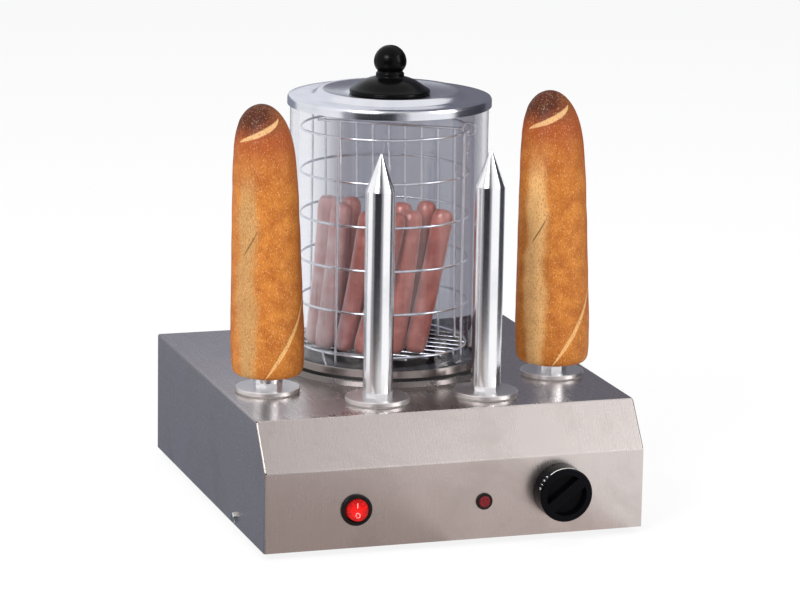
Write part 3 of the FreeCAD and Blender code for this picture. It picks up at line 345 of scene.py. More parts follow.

# %% [markdown]
# ## Turned and spun metal
#
# The spikes and their flanges come off a lathe, and the lid is spun over a form. Both leave rings
# round an axis: the distance from the axis makes the rings on a flat face, and the height makes
# them on a straight one. The pan is pressed, but its rim is turned too, and inside the rim it is
# painted dark: painted shade and a painted reflection of the dark inside of the glass.

# %% Turned metal
def turned_metal(name, colour, centre, rough, pitch, depth, ring_noise=0.5, painted_dark_within=None):
    """Ringed metal, painted dark inside a given radius when a radius and a colour are given."""
    finish = Finish(name)
    place = finish.place(centre=centre)
    x, y, z = finish.split(place)
    radius = (x * x + y * y) ** 0.5
    on_top = finish.facing()[2].step(0.7, 0.9)
    run = z + (radius - z) * on_top
    spread = finish.node("ShaderNodeCombineXYZ", {}, {0: run, 1: 0.0, 2: 0.0})
    rings = finish.noise(spread, 1.0 / pitch, 2.0, 0.6)
    broad = finish.noise(place, 22.0, 4.0, 0.6)
    if painted_dark_within is not None:
        # painted shade and reflection: the metal inside the radius is darkened
        dark_radius, painted_dark = painted_dark_within
        colour = finish.mix(1.0 - (radius / dark_radius).step(0.98, 1.0), colour, painted_dark)
    finish.set(Base_Color=finish.mix(broad.step(0.4, 0.8) * ring_noise, colour, (0.7, 0.72, 0.76),
                                     "MULTIPLY"),
               Metallic=1.0,
               Roughness=(rough + (rings - 0.5) * 0.14 + (broad - 0.5) * 0.10).most(0.05),
               Normal=finish.bump(rings, 0.25, depth))
    return finish.material


# the pan's inside is painted dark: painted shade and reflection of the dark inside of the glass
slots["pan_steel"] = turned_metal("pan_steel", srgb(156, 150, 147), glass_axis, 0.24, 1.2 * MM, 0.03 * MM,
                                  0.4, painted_dark_within=(75.4 * MM, srgb(22, 21, 25)))
slots["lid_steel"] = turned_metal("lid_steel", srgb(228, 229, 236), glass_axis, 0.20, 0.9 * MM, 0.03 * MM)
print("turned:", list(slots)[2:])

# %% [markdown]
# ## Wire, fasteners and copper
#
# Drawn wire, screws and tube are polished all over and too thin to show a direction of brushing.
# A fine grain that touches the colour, the roughness and the normal is enough.

# %% Polished wire and fasteners
def bright_metal(name, colour, rough, metal):
    finish = Finish(name)
    grain = finish.noise(finish.place(), 300.0, 3.0, 0.6)
    finish.set(Base_Color=finish.mix(grain.step(0.45, 0.8) * 0.4, colour, (0.6, 0.6, 0.62), "MULTIPLY"),
               Metallic=metal,
               Roughness=(rough + (grain - 0.5) * 0.1).most(0.04),
               Normal=finish.bump(grain, 0.05, 0.2 * MM))
    return finish.material


for name, colour, rough, metal in (("wire_steel", srgb(216, 218, 224), 0.15, 0.85),
                                   ("screw_steel", srgb(200, 200, 200), 0.20, 1.0),
                                   ("heater_steel", srgb(140, 136, 132), 0.32, 1.0),
                                   ("copper_tube", srgb(190, 120, 86), 0.25, 1.0)):
    slots[name] = bright_metal(name, colour, rough, metal)
print("finishes so far:", len(slots))

# %% [markdown]
# ## Glass
#
# The cylinder is borosilicate tube with a 4 mm wall. Light that has to come through it to reach
# the basket is let through unbent, because a path tracer finds almost no bent light in so few
# samples; everything seen directly is real refraction. Its colour is painted light and shade: pale
# at the left and grey at the back, as if it stood in a room that is lighter on the left.

# %% Glass tube
def clear_glass(name, front_painted_tone, left_painted_light, back_painted_shade):
    """Glass with painted light and shade: lightest at the left and darkest at the back."""
    finish = Finish(name)
    streaks = finish.noise(finish.place(centre=glass_axis, stretch=(60, 60, 4)), 1.0, 3.0, 0.6)
    x, y = finish.split(finish.place(centre=glass_axis))[:2]
    to_right = (x * across.x + y * across.y) / glass_r
    to_back = (y * across.x - x * across.y) / glass_r
    # painted light and shade: grey towards the back, pale towards the left
    painted_light_and_shade = finish.mix(to_back.step(-0.1, 0.35), front_painted_tone, back_painted_shade)
    painted_light_and_shade = finish.mix(1.0 - to_right.step(-0.95, -0.35), painted_light_and_shade, left_painted_light)
    finish.set(Base_Color=painted_light_and_shade, Transmission_Weight=1.0, IOR=1.47,
               Roughness=streaks.step(0.55, 0.9) * 0.03)
    open_air = finish.node("ShaderNodeBsdfTransparent", {}, {"Color": (0.94, 0.94, 0.95)})
    finish.blend_shader(finish.rays("Shadow", "Diffuse"), open_air)
    return finish.material


slots["clear_glass"] = clear_glass("clear_glass", srgb(238, 238, 241), srgb(250, 251, 254),
                                   srgb(148, 150, 161))
print("finishes so far:", len(slots))

# %% [markdown]
# ## Plastics and rubber
#
# Moulded phenolic is nearly black with a hard shine; the switch and the dial have a fine
# spark-eroded grain; rubber is dull and a little dusty. One recipe covers them: a base colour that
# varies a little, a grain in the normal, and a roughness that follows the grain.

# %% Moulded parts
def moulded(name, colour, rough, grain_size, grain_depth, dust=0.15, sheen=0.5):
    finish = Finish(name)
    place = finish.place()
    grain = finish.noise(place, 1.0 / grain_size, 3.0, 0.55)
    broad = finish.noise(place, 35.0, 4.0, 0.6)
    lighter = tuple(min(1.0, value * 1.6 + 0.02) for value in colour)
    finish.set(Base_Color=finish.mix(broad.step(0.35, 0.8) * dust + grain.step(0.6, 0.9) * dust,
                                     colour, lighter),
               Roughness=(rough + (grain - 0.5) * 0.2 + (broad - 0.5) * 0.15).most(0.05),
               Normal=finish.bump(grain, 0.3, grain_depth), Specular_IOR_Level=sheen)
    return finish.material


for name, recipe in {
        "black_rubber": ((0.012, 0.012, 0.012), 0.65, 0.6 * MM, 0.2 * MM),
        "seal_silicone": ((0.30, 0.29, 0.28), 0.5, 0.6 * MM, 0.1 * MM),
        "black_phenolic": ((0.002, 0.002, 0.002), 0.22, 0.5 * MM, 0.01 * MM, 0.02, 0.08),
        "switch_black": ((0.008, 0.007, 0.007), 0.30, 0.4 * MM, 0.04 * MM, 0.15, 0.12),
        "dial_black": ((0.002, 0.002, 0.003), 0.20, 0.5 * MM, 0.04 * MM, 0.03, 0.06),
        "inner_plastic": ((0.62, 0.58, 0.48), 0.45, 0.6 * MM, 0.06 * MM),
        "ceramic_cap": ((0.78, 0.75, 0.68), 0.55, 0.4 * MM, 0.06 * MM)}.items():
    slots[name] = moulded(name, *recipe)
print("finishes so far:", len(slots))

# %% [markdown]
# ## Lit plastic
#
# The rocker and the lamp are red plastic with a small lamp behind. The glow falls off from the
# middle, so it is an emission colour that fades with the distance, and a mottle stands for the
# uneven light inside the moulding.

# %% Lit plastic of the rocker and the lamp
def lit_plastic(name, colour, glow, strength, centre, reach):
    """Coloured plastic that is brighter towards the small lamp behind it."""
    finish = Finish(name)
    x, _, z = finish.split(finish.place(centre=centre))
    away = (x * x + z * z) ** 0.5
    mottle = finish.noise(finish.place(), 420.0, 3.0, 0.6)
    lamp = (1.0 - away / reach).most(0.0) * (0.75 + mottle * 0.5)
    finish.set(Base_Color=finish.mix(mottle.step(0.4, 0.8) * 0.4, colour, glow),
               Roughness=0.22 + mottle * 0.12,
               Coat_Weight=0.1, Coat_Roughness=0.1, Specular_IOR_Level=0.25,
               Emission_Color=finish.mix(lamp, (0.0, 0.0, 0.0), glow),
               Emission_Strength=strength)
    return finish.material


slots["rocker_red"] = lit_plastic("rocker_red", srgb(96, 0, 2), srgb(255, 14, 8), 1.15,
                                  middle("rocker"), 9.8 * MM)
slots["lens_red"] = lit_plastic("lens_red", srgb(96, 14, 24), srgb(120, 20, 30), 0.15,
                                middle("lamp_lens"), 6.0 * MM)
print("finishes so far:", len(slots))

# %% [markdown]
# ## Finishes for every built part
#
# The record names a material slot for each part, and each slot has its finish by now. The spikes
# and flanges get one each, because their rings run round their own axes, and the floor of the
# basket gets darker wire, painted shade for the shade under the sausages.

# %% Give the built parts their finishes
slot_of = {entry["node"]: entry["material_slot"] for entry in frame["record"]["subparts"]}
# painted shade: the floor of the basket is darker wire than the hoops
own_finish = {"basket_floor": bright_metal("shaded_floor_wire", srgb(172, 172, 176), 0.15, 0.95)}
for name, slot in slot_of.items():
    if slot == "spike_aluminium":
        own_finish[name] = turned_metal(name + "_metal", srgb(246, 246, 248), middle(name), 0.18,
                                        0.7 * MM, 0.04 * MM)
    elif slot == "flange_aluminium":
        own_finish[name] = turned_metal(name + "_metal", srgb(224, 220, 219), middle(name), 0.36,
                                        0.8 * MM, 0.22 * MM)
for name, slot in slot_of.items():
    made = own_finish.get(name) or slots.get(slot)
    if made:                  # bread and sausages are modelled below
        for place in nodes[name].material_slots:
            place.material = made
print("finishes made:", len(bpy.data.materials))

# %% [markdown]
# ## Modelling by rings
#
# Buns, sausages, the lid and its knob are all round things whose radius changes along an axis. By
# hand one would add a circle, extrude it, move and scale the new ring, and go on to the end. The
# helper below does just that with the same operators, one step per ring. A ring may be oval and
# may sit off the axis, which is what makes bread look like bread.

# %% Ring by ring
WELD = 0.005 * MM             # points closer than this are made one


def pick(piece):
    """Selects one piece alone and makes it the active one."""
    bpy.ops.object.select_all(action="DESELECT")
    piece.select_set(True)
    bpy.context.view_layer.objects.active = piece


def write_place(piece):
    """Writes a piece's place, turn and size into its mesh."""
    pick(piece)
    bpy.ops.object.transform_apply(location=True, rotation=True, scale=True)


def open_mesh():
    bpy.ops.object.mode_set(mode="EDIT")
    bpy.ops.mesh.select_all(action="SELECT")


def close_mesh():
    """Turns the faces outwards and leaves edit mode."""
    bpy.ops.mesh.select_all(action="SELECT")
    bpy.ops.mesh.normals_make_consistent(inside=False)
    bpy.ops.object.mode_set(mode="OBJECT")


def raise_rings(name, sides, stations, closed=False):
    """Piece through (radius, height, shift x, shift y, oval) rings; the last three may be left out."""
    rings = [tuple(s) + (0, 0, 1.0)[len(s) - 2:] for s in stations]
    radius, height, at_x, at_y, oval = rings[0]
    piece = new_piece(bpy.ops.mesh.primitive_circle_add, name, vertices=sides, radius=radius,
                      fill_type="NOTHING", location=(0, 0, height))
    write_place(piece)
    open_mesh()
    for next_radius, next_height, next_x, next_y, next_oval in rings[1:]:
        bpy.ops.mesh.extrude_region_move(TRANSFORM_OT_translate={
            "value": (next_x - at_x, next_y - at_y, next_height - height)})
        grow = next_radius / radius
        bpy.ops.transform.resize(value=(grow, grow * next_oval / oval, 1.0),
                                 center_override=(next_x, next_y, next_height))
        radius, height, at_x, at_y, oval = next_radius, next_height, next_x, next_y, next_oval
    bpy.ops.mesh.select_all(action="SELECT")
    bpy.ops.mesh.remove_doubles(threshold=WELD)
    if not closed:
        bpy.ops.mesh.fill_holes(sides=0)
    close_mesh()
    return piece


print("points closer than %.3f mm are welded" % (WELD / MM))

# %% [markdown]
# ## Finishing a piece
#
# Every piece ends the same way: its modifiers are applied, its faces are shaded smooth except at
# sharp bends, and its place is written into its mesh, so that the object itself stays at the
# origin, unturned, as the built parts do. A piece that comes more than once is modelled once and
# copied, each copy with a mesh of its own.

# %% Rounding, smoothing, placing, painting, copying
def apply_all(piece):
    bpy.context.view_layer.objects.active = piece
    for modifier in list(piece.modifiers):
        bpy.ops.object.modifier_apply(modifier=modifier.name)


def round_off(piece, levels):
    rounding = piece.modifiers.new("rounding", "SUBSURF")
    rounding.levels = levels
    rounding.render_levels = levels
    apply_all(piece)


def smooth(piece, angle):
    pick(piece)
    bpy.ops.object.shade_smooth_by_angle(angle=math.radians(angle))


def settle(piece, place, turn=None):
    """Moves a finished piece to its place and writes the place into its mesh."""
    if turn is not None:
        piece.rotation_mode = "QUATERNION"
        piece.rotation_quaternion = turn
    piece.location = place
    write_place(piece)


def paint(piece, material):
    piece.data.materials.clear()
    piece.data.materials.append(material)


def copy_of(piece, name):
    pick(piece)
    bpy.ops.object.duplicate()
    made = bpy.context.object
    made.name = name
    return made


print("round pieces stand on the axis x %.1f, y %.1f mm" % tuple(glass_axis.xy / MM))

# %% [markdown]
# ## Bread
#
# A bun on its spike is a short baguette, stood on its cut end. Its crust widens slowly from a
# crown that leans to one side, and bellies a little above the cut. It is built from the inside
# out: up at the tip of the bore, down the bore, out over the cut face and up the crust. A
# subdivision rounds it, and a gentle cloud pattern pushes the crust in and out.

# %% Shape of a bun
BUN_SIDES = 40
BORE = 11.7 * MM
BORE_TIP = 1.6 * MM
TIP_GAP = 1.2 * MM
SPIKE_CONE = 26.0 * MM        # length of the bore's cone over the spike's point
END_GAP = 0.3 * MM            # the crust stays this far inside the built bun at each end
LUMP_HEIGHT = 0.9 * MM
LUMP_SIZE = 18.0 * MM
SKIN_FROM = 14.0 * MM         # the bore, nearer to the axis than this, stays smooth
CRUST = [                # height over the foot, radius, lean towards the left, all in millimetres
    (0.0, 13.0, 0.0), (-0.2, 18.0, 0.0), (0.0, 22.5, 0.0), (1.6, 25.4, 0.1), (5.0, 26.7, 0.1),
    (12.0, 27.2, 0.3), (25.0, 27.4, 0.6), (42.0, 27.2, 0.9), (62.0, 26.5, 1.4), (85.0, 25.8, 1.9),
    (110.0, 25.2, 2.4), (133.0, 24.6, 2.9), (152.0, 23.8, 3.5), (166.0, 22.6, 4.1),
    (176.0, 21.0, 4.7), (184.5, 18.6, 5.3), (191.0, 15.2, 5.8), (195.8, 11.2, 6.1),
    (199.0, 6.6, 6.2), (200.3, 1.6, 6.2),
]
bun_low, bun_high = box_of("bun_left")
left_spike = middle("spike_left_outer")
right_spike = middle("spike_right_outer")
bun_height = bun_high.z - bun_low.z
spike_tip = box_of("spike_left_outer")[1].z
spike_shoulder = spike_tip - SPIKE_CONE


def bun_stations():
    foot = bun_low.z + END_GAP
    stations = [(BORE_TIP, spike_tip + TIP_GAP), (BORE * 0.55, (spike_tip + spike_shoulder) / 2),
                (BORE, spike_shoulder), (BORE, spike_shoulder - 3 * MM), (BORE, foot + 40 * MM),
                (BORE, foot + 2 * MM)]
    scale = (bun_height - 2 * END_GAP) / CRUST[-1][0]
    for height, radius, lean in CRUST:
        shift = -across * lean * MM
        stations.append((radius * MM, foot + height * scale, shift.x, shift.y, 1.0))
    return stations


def make_lumpy(piece):
    """Cloud-like unevenness on the crust."""
    texture = bpy.data.textures.new(piece.name + "_lumps", "CLOUDS")
    texture.noise_scale = LUMP_SIZE
    group = piece.vertex_groups.new(name="skin")
    group.add([v.index for v in piece.data.vertices if v.co.xy.length > SKIN_FROM], 1.0, "REPLACE")
    push = piece.modifiers.new("lumps", "DISPLACE")
    push.texture = texture
    push.texture_coords = "LOCAL"
    push.strength = LUMP_HEIGHT
    push.mid_level = 0.5
    push.vertex_group = "skin"
    apply_all(piece)


first_bun = raise_rings("bun_crust_left", BUN_SIDES, bun_stations())
round_off(first_bun, 2)
make_lumpy(first_bun)
smooth(first_bun, 60)
print("bun faces:", len(first_bun.data.polygons))

# %% [markdown]
# The second bun is a copy with a mesh of its own, a little larger and pushed down a little further.
# Each is moved to the axis of its spike.

# %% Two buns
second_bun = copy_of(first_bun, "bun_crust_right")
second_low, second_high = box_of("bun_right")
larger = (second_high.z - second_low.z) / bun_height
settle(first_bun, (left_spike.x, left_spike.y, 0))
second_bun.scale = (larger, larger, larger)
settle(second_bun, (right_spike.x, right_spike.y, second_low.z - bun_low.z * larger))
for piece, node, body in ((first_bun, "bun_left", "left_bun"), (second_bun, "bun_right", "right_bun")):
    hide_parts(node)
    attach(piece, body)
    piece.visible_glossy = False     # keeps orange out of the polished metal
print("second bun is %.3f times the first" % larger)

# %% [markdown]
# The crust is where bread gets its look. It bakes dark at the crown and golden down the side, with
# a paler, floury stripe where it lay against its neighbour in the oven. The baker's cuts open
# pale: one runs across under the crown, and one winds up from the cut face. Unrolled, such a cut
# is a straight line, so its mask is a distance from a line in turn and height. Turns are in
# radians from the side towards the camera, heights in metres over the cut face.

# %% Crust
CRUST_R = 27.0 * MM
CROWN_R = 12.0 * MM
CUT_FACE_R = 24.0 * MM
CUT_FACE_DEPTH = 4.0 * MM


def crust_finish(name, axis, foot, size, flour_and_painted_light):
    """Crust of the bun that stands at foot on the axis; size is its share of the first bun."""
    finish = Finish(name)
    place = finish.place(centre=(axis.x, axis.y, foot), stretch=(1 / size, 1 / size, 1 / size))
    x, y, z = finish.split(place)
    right = x * across.x + y * across.y
    near = x * across.y - y * across.x
    turn = right.turn_from(near)
    share = z / bun_height
    drift = finish.noise(place, 26.0, 3.0, 0.55) - 0.5
    patch = finish.noise(place, 85.0, 4.0, 0.6)
    grain = finish.noise(finish.place(stretch=(1, 1, 0.55)), 1100.0, 3.0, 0.7)
    fleck = finish.cells(finish.place(stretch=(1, 1, 0.6)), 820.0)

    golden = finish.mix(patch.step(0.3, 0.75), srgb(172, 98, 34), srgb(204, 130, 54))
    # painted shade: darker, redder crust towards the outline seen from the camera
    painted_outline_shade = (abs(turn + 0.1) / 1.5) ** 3.0
    golden = finish.mix(painted_outline_shade.step(0.2, 1.0) * 0.55, golden, srgb(166, 82, 32))
    stripe = (1.0 - abs(turn + 0.62 + drift * 0.6) / 0.42).step(0.0, 0.7)
    stripe = stripe * (1.0 - (share + drift * 0.2).step(0.62, 0.86))
    golden = finish.mix(stripe * (0.55 + patch * 0.5).least(0.95), golden, flour_and_painted_light)
    baked = (share + drift * 0.22).step(0.66, 0.93)
    tone = finish.mix(baked * 0.9, golden, srgb(152, 70, 32))
    crown = (share + drift * 0.12 - turn * 0.012).step(0.885, 0.965)
    charred = finish.mix((right / CROWN_R).step(-0.4, 0.8), srgb(66, 26, 14), srgb(128, 74, 36))
    tone = finish.mix(crown, tone, charred)

    def cut(start_height, climb, first, last, width, power):
        """Mask of a cut from the turn first to the turn last."""
        along = (turn - first) / (last - first)
        inside = (along * (1.0 - along) * 4.0).most(0.0) ** power
        away = abs(z - start_height - turn * climb + drift * 4.0 * MM)
        slant = math.cos(math.atan2(climb, CRUST_R))
        edge = (1.0 - away * slant / (inside * width + 0.01 * MM)).step(0.0, 0.45)
        return edge * inside.step(0.0, 0.2)

    long_cut = cut(3.0 * MM, 40.0 * MM, -0.06, 1.42, 2.1 * MM, 0.7)
    top_cut = cut(bun_height - 15.8 * MM, 10.0 * MM, -1.05, 0.62, 2.7 * MM, 0.6)
    shade_line = cut(bun_height - 11.8 * MM, 10.0 * MM, -1.0, 0.75, 3.5 * MM, 0.5) * (1.0 - top_cut)
    tone = finish.mix(shade_line * 0.55, tone, srgb(110, 52, 30))
    tone = finish.mix(top_cut * 0.85, tone, srgb(222, 176, 122))
    tone = finish.mix(long_cut * 0.9, tone, srgb(232, 180, 116))
    crack = cut(124.0 * MM, 44.0 * MM, -0.72, -0.28, 0.7 * MM, 0.8)
    tone = finish.mix(crack * 0.7, tone, srgb(96, 60, 26))
    dots = 1.0 - fleck.step(0.12, 0.42)
    tone = finish.mix(dots * 0.34 * grain.step(0.4, 0.6), tone, srgb(255, 214, 158))
    tone = finish.mix((1.0 - grain.step(0.28, 0.52)) * 0.65, tone, srgb(116, 56, 20))
    inner = 1.0 - ((x * x + y * y) ** 0.5 / CUT_FACE_R).step(0.85, 1.0)
    cut_face = (1.0 - z / CUT_FACE_DEPTH).step(0.0, 0.6) * inner
    tone = finish.mix(cut_face, tone, srgb(226, 196, 148))

    height = grain * 0.35 + dots * 0.2 + patch * 0.4 - long_cut * 1.6 - top_cut * 1.2 - crack * 2.0
    finish.set(Base_Color=tone, Roughness=(0.52 + (grain - 0.5) * 0.25 + long_cut * 0.2).least(0.9),
               Normal=finish.bump(height, 0.55, 0.6 * MM), Specular_IOR_Level=0.2,
               Subsurface_Weight=0.04, Subsurface_Radius=(0.006, 0.003, 0.001))
    return finish.material


# the stripe is flour; the second bun's is painted lighter, painted light on a side in shade
left_crust = crust_finish("crust_left", left_spike, bun_low.z, 1.0, srgb(182, 142, 90))
right_crust = crust_finish("crust_right", right_spike, second_low.z, larger, srgb(240, 192, 128))
paint(first_bun, left_crust)
paint(second_bun, right_crust)
print("crusts painted")

# %% [markdown]
# ## Sausages
#
# Ten frankfurters stand in the basket, leaning together. One is modelled upright: straight sides,
# full round ends with the small dimple of the twisted casing, and a slight bow. The others are
# copies, each a little shorter or thinner. The built part is one object with ten rods in it: a
# copy of it is split, and the ends of each rod say where a sausage goes.

# %% One sausage
SAUSAGE_R = 8.0 * MM
SAUSAGE_LENGTH = 115.0 * MM
SAUSAGE_BOW = 1.3 * MM
basket_middle = middle("basket_hoops")
basket_r = round_size("basket_hoops")


def sausage_stations():
    half = SAUSAGE_LENGTH / 2
    ends = [(1.2, 0.9), (3.2, 0.15), (5.2, 0.9), (6.9, 2.9), (7.8, 6.0), (8.0, 10.0)]
    sides = [(7.95, 24.0), (7.85, 40.0), (7.9, 57.5)]
    low = [(radius * MM, depth * MM) for radius, depth in ends + sides]
    high = [(radius, SAUSAGE_LENGTH - depth) for radius, depth in reversed(low[:-1])]
    stations = []
    for radius, height in low + high:
        bow = SAUSAGE_BOW * (1 - ((height - half) / half) ** 2)
        stations.append((radius, height - half, bow, 0.0, 1.0))
    return stations


sausage = raise_rings("sausage_01", 20, sausage_stations())
round_off(sausage, 1)
smooth(sausage, 60)
print("sausage faces:", len(sausage.data.polygons))

# %% Ends of the built rods
def loose_parts(node):
    """Splits a copy of a built part into its separate solids."""
    copy_of(nodes[node], node + "_guide")
    open_mesh()
    bpy.ops.mesh.remove_doubles(threshold=2 * WELD)
    bpy.ops.mesh.separate(type="LOOSE")
    bpy.ops.object.mode_set(mode="OBJECT")
    return list(bpy.context.selected_objects)


def rod_ends(piece):
    """Centres of the round ends of an upright rod, lower one first."""
    points = [piece.matrix_world @ v.co for v in piece.data.vertices]
    lowest = min(points, key=lambda p: p.z)
    highest = max(points, key=lambda p: p.z)
    foot, top = Vector(), Vector()
    for i in range(3):
        ends = [min(p[i] for p in points) + SAUSAGE_R, max(p[i] for p in points) - SAUSAGE_R]
        if lowest[i] > highest[i]:
            ends.reverse()
        foot[i], top[i] = ends
    return foot, top


rods = sorted((rod_ends(piece) for piece in loose_parts("sausages")), key=lambda ends: ends[0].x)
bpy.ops.object.delete()       # the split copies are still selected
print("rods:", len(rods))

# %% Ten sausages
THINNER = 0.02                # steps in which the copies differ
SHORTER = 0.012
LOWER = 0.5 * MM


def lean_turn(foot, top, bow_to):
    """Rotation that stands a piece along foot to top, with its bow towards the given side."""
    up = (top - foot).normalized()
    side = (bow_to - up * bow_to.dot(up)).normalized()
    return Matrix((side, up.cross(side), up)).transposed().to_quaternion()


sausages = [sausage] + [copy_of(sausage, "sausage_%02d" % (i + 2)) for i in range(len(rods) - 1)]
for i, (foot, top) in enumerate(rods):
    piece = sausages[i]
    lean = top - foot
    lean.z = 0
    step = (i * 2) % 5
    piece.scale = (1.0 - THINNER * (i % 3), 1.0, 1.0 - SHORTER * step)
    settle(piece, (foot + top) / 2 - Vector((0, 0, LOWER * step)), lean_turn(foot, top, lean))
    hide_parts("sausages")
    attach(piece, "basket")
print("sausages:", len(sausages))

# %% [markdown]
# Sausage skin is smooth, a little wet and slightly see-through. The sausages on the left are
# painted paler, painted light and a painted reflection, so their distance to the left picks the colour.

# %% Sausage skin
def sausage_skin():
    finish = Finish("sausage_skin")
    place = finish.place()
    cloud = finish.noise(place, 55.0, 4.0, 0.6)
    streak = finish.noise(finish.place(stretch=(260, 260, 22)), 1.0, 3.0, 0.6)
    speck = finish.noise(place, 700.0, 2.0, 0.5)
    x, y = finish.split(finish.place(centre=basket_middle))[:2]
    # painted light and reflection: the sausages on the left are painted paler
    painted_light_left = 1.0 - ((x * across.x + y * across.y) / basket_r).step(-0.62, -0.28)
    darker_skin = finish.mix(cloud.step(0.35, 0.7), srgb(152, 76, 64), srgb(188, 114, 102))
    pale = finish.mix(cloud.step(0.35, 0.7), srgb(236, 190, 190), srgb(250, 226, 226))
    tone = finish.mix(painted_light_left, darker_skin, pale)
    tone = finish.mix(streak.step(0.5, 0.8) * 0.45, tone, srgb(158, 74, 60))
    tone = finish.mix(speck.step(0.62, 0.75) * 0.25, tone, srgb(238, 200, 190))
    finish.set(Base_Color=tone, Roughness=0.34 + (cloud - 0.5) * 0.2,
               Normal=finish.bump(streak + speck * 0.3, 0.18, 0.6 * MM),
               Coat_Weight=0.25, Coat_Roughness=0.18,
               Subsurface_Weight=0.08, Subsurface_Radius=(0.006, 0.002, 0.0015))
    return finish.material


skin = sausage_skin()
for piece in sausages:
    paint(piece, skin)
    piece.visible_glossy = False     # keeps red out of the polished wire
print("skins painted")

# %% [markdown]
# ## Lid and knob
#
# The lid is spun from one sheet. Its profile is followed ring by ring over the top and back under,
# so that the sheet has its real thickness, and the rings are set close together at each bend, so
# that it looks round. The knob is one moulding, saucer, collar and ball, and a subdivision rounds it.

# %% Lid
SHEET = 0.8 * MM
NEARLY_ALL = 0.999            # how far the inner skin rises to the level of the outer one at the lip
CROWN_RISE = 4.6 * MM         # from the flat ring to the top of the crown
LIP_START = 74.2              # radius in millimetres at which the sheet turns down
LIP_BEND = 3.0
lid_r = round_size("lid_shell")
lid_flat = box_of("lid_shell")[1].z - CROWN_RISE
LID_TOP = [              # radius in millimetres, height over the flat ring
    (2.8, 1.3), (16.0, 1.3), (31.0, 1.3), (34.5, 1.5), (44.0, 2.8), (50.0, 4.0), (52.4, 4.5),
    (53.8, 4.4), (55.6, 2.9), (57.4, 0.8), (58.8, 0.05), (62.0, 0.0), (70.0, 0.0), (74.8, -0.05),
    (76.4, -0.5), (77.05, -1.6), (77.2, -3.2), (77.2, -6.2), (77.2, -7.0),
]


def lid_stations():
    over = [(r * MM, lid_flat + h * MM) for r, h in LID_TOP]
    under = []
    for r, h in reversed(LID_TOP):
        in_r = min(r * MM, lid_r - SHEET)
        bend = max(0.0, min(1.0, (r - LIP_START) / LIP_BEND))
        under.append((in_r, lid_flat + h * MM - SHEET * (1 - bend * NEARLY_ALL)))
    return over + under + over[:1]


lid = raise_rings("lid_spun", 96, lid_stations(), closed=True)
settle(lid, (glass_axis.x, glass_axis.y, 0))
smooth(lid, 40)
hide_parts("lid_shell")
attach(lid, "lid")
paint(lid, slots["lid_steel"])
print("lid faces:", len(lid.data.polygons))

# %% Knob of the lid
knob_low, knob_high = box_of("lid_knob")
KNOB = [                 # radius and height over the seat, in millimetres
    (2.6, 12.0), (2.6, 0.0), (14.0, 0.0), (29.6, 0.0), (30.4, 0.5), (30.7, 1.6), (30.5, 2.6),
    (29.8, 3.4), (28.3, 4.0), (26.1, 5.3), (23.3, 7.4), (20.1, 9.4), (16.7, 10.9), (13.7, 11.8),
    (11.5, 12.3), (10.8, 13.0), (10.6, 14.2), (10.8, 15.4), (9.7, 16.1), (9.4, 16.9), (10.7, 18.4),
    (11.9, 20.5), (12.45, 23.2), (12.4, 25.6), (11.5, 28.9), (9.8, 31.8), (7.4, 34.2), (4.4, 35.9),
    (1.4, 36.4),
]
lid_knob = raise_rings("lid_knob_moulded", 64, [(r * MM, knob_low.z + h * MM) for r, h in KNOB])
round_off(lid_knob, 1)
settle(lid_knob, (glass_axis.x, glass_axis.y, 0))
smooth(lid_knob, 50)
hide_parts("lid_knob")
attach(lid_knob, "lid")
paint(lid_knob, slots["black_phenolic"])
print("knob height %.1f mm" % ((knob_high.z - knob_low.z) / MM))

# %% [markdown]
# ## Printed marks
#
# The rocker has the two usual signs, a bar for on and a ring for off, and the dial has a scale
# round its side. Printed marks are a film of ink, so each is a very thin raised shape laid on the
# surface. A ray shot at the rocker finds where its surface is and which way it faces. The side of
# the dial is a plain cylinder, so an angle is enough to place its marks.

# %% Finding a surface
INK = 0.06 * MM
BACKWARDS = Vector((0, 1, 0))
UPWARDS = Vector((0, 0, 1))


def lay_on(piece, spot, normal, up):
    """Turns a flat piece, drawn in X and Y and facing +Z, onto a surface with its top to up."""
    side = up.cross(normal).normalized()
    turn = Matrix((side, normal.cross(side), normal)).transposed().to_quaternion()
    settle(piece, spot, turn)


def thicken(piece):
    solid = piece.modifiers.new("ink", "SOLIDIFY")
    solid.thickness = INK
    solid.offset = 1.0
    apply_all(piece)


rocker_middle = middle("rocker")
print("rocker at", [round(v / MM, 1) for v in rocker_middle])


# %% Bar and ring on the rocker
def flat_bar(name, width, height):
    piece = new_piece(bpy.ops.mesh.primitive_grid_add, name, x_subdivisions=2, y_subdivisions=4, size=1.0)
    piece.scale = (width, height, 1.0)
    write_place(piece)
    thicken(piece)
    return piece


def flat_ring(name, outer_x, outer_y, width):
    piece = new_piece(bpy.ops.mesh.primitive_circle_add, name, vertices=32, radius=1.0, fill_type="NOTHING")
    piece.scale = (outer_x, outer_y, 1.0)
    write_place(piece)
    open_mesh()
    bpy.ops.mesh.extrude_region_move(TRANSFORM_OT_translate={"value": (0, 0, 0)})
    bpy.ops.transform.resize(value=(1 - width / outer_x, 1 - width / outer_y, 1.0),
                             center_override=(0, 0, 0))
    close_mesh()
    thicken(piece)
    return piece


def ink_finish(name, colour, glow):
    finish = Finish(name)
    worn = finish.noise(finish.place(), 900.0, 3.0, 0.6)
    faded = tuple(value * 0.7 for value in colour)
    finish.set(Base_Color=finish.mix(worn.step(0.55, 0.8) * 0.5, colour, faded),
               Roughness=0.45 + (worn - 0.5) * 0.2,
               Emission_Color=colour, Emission_Strength=glow)
    return finish.material


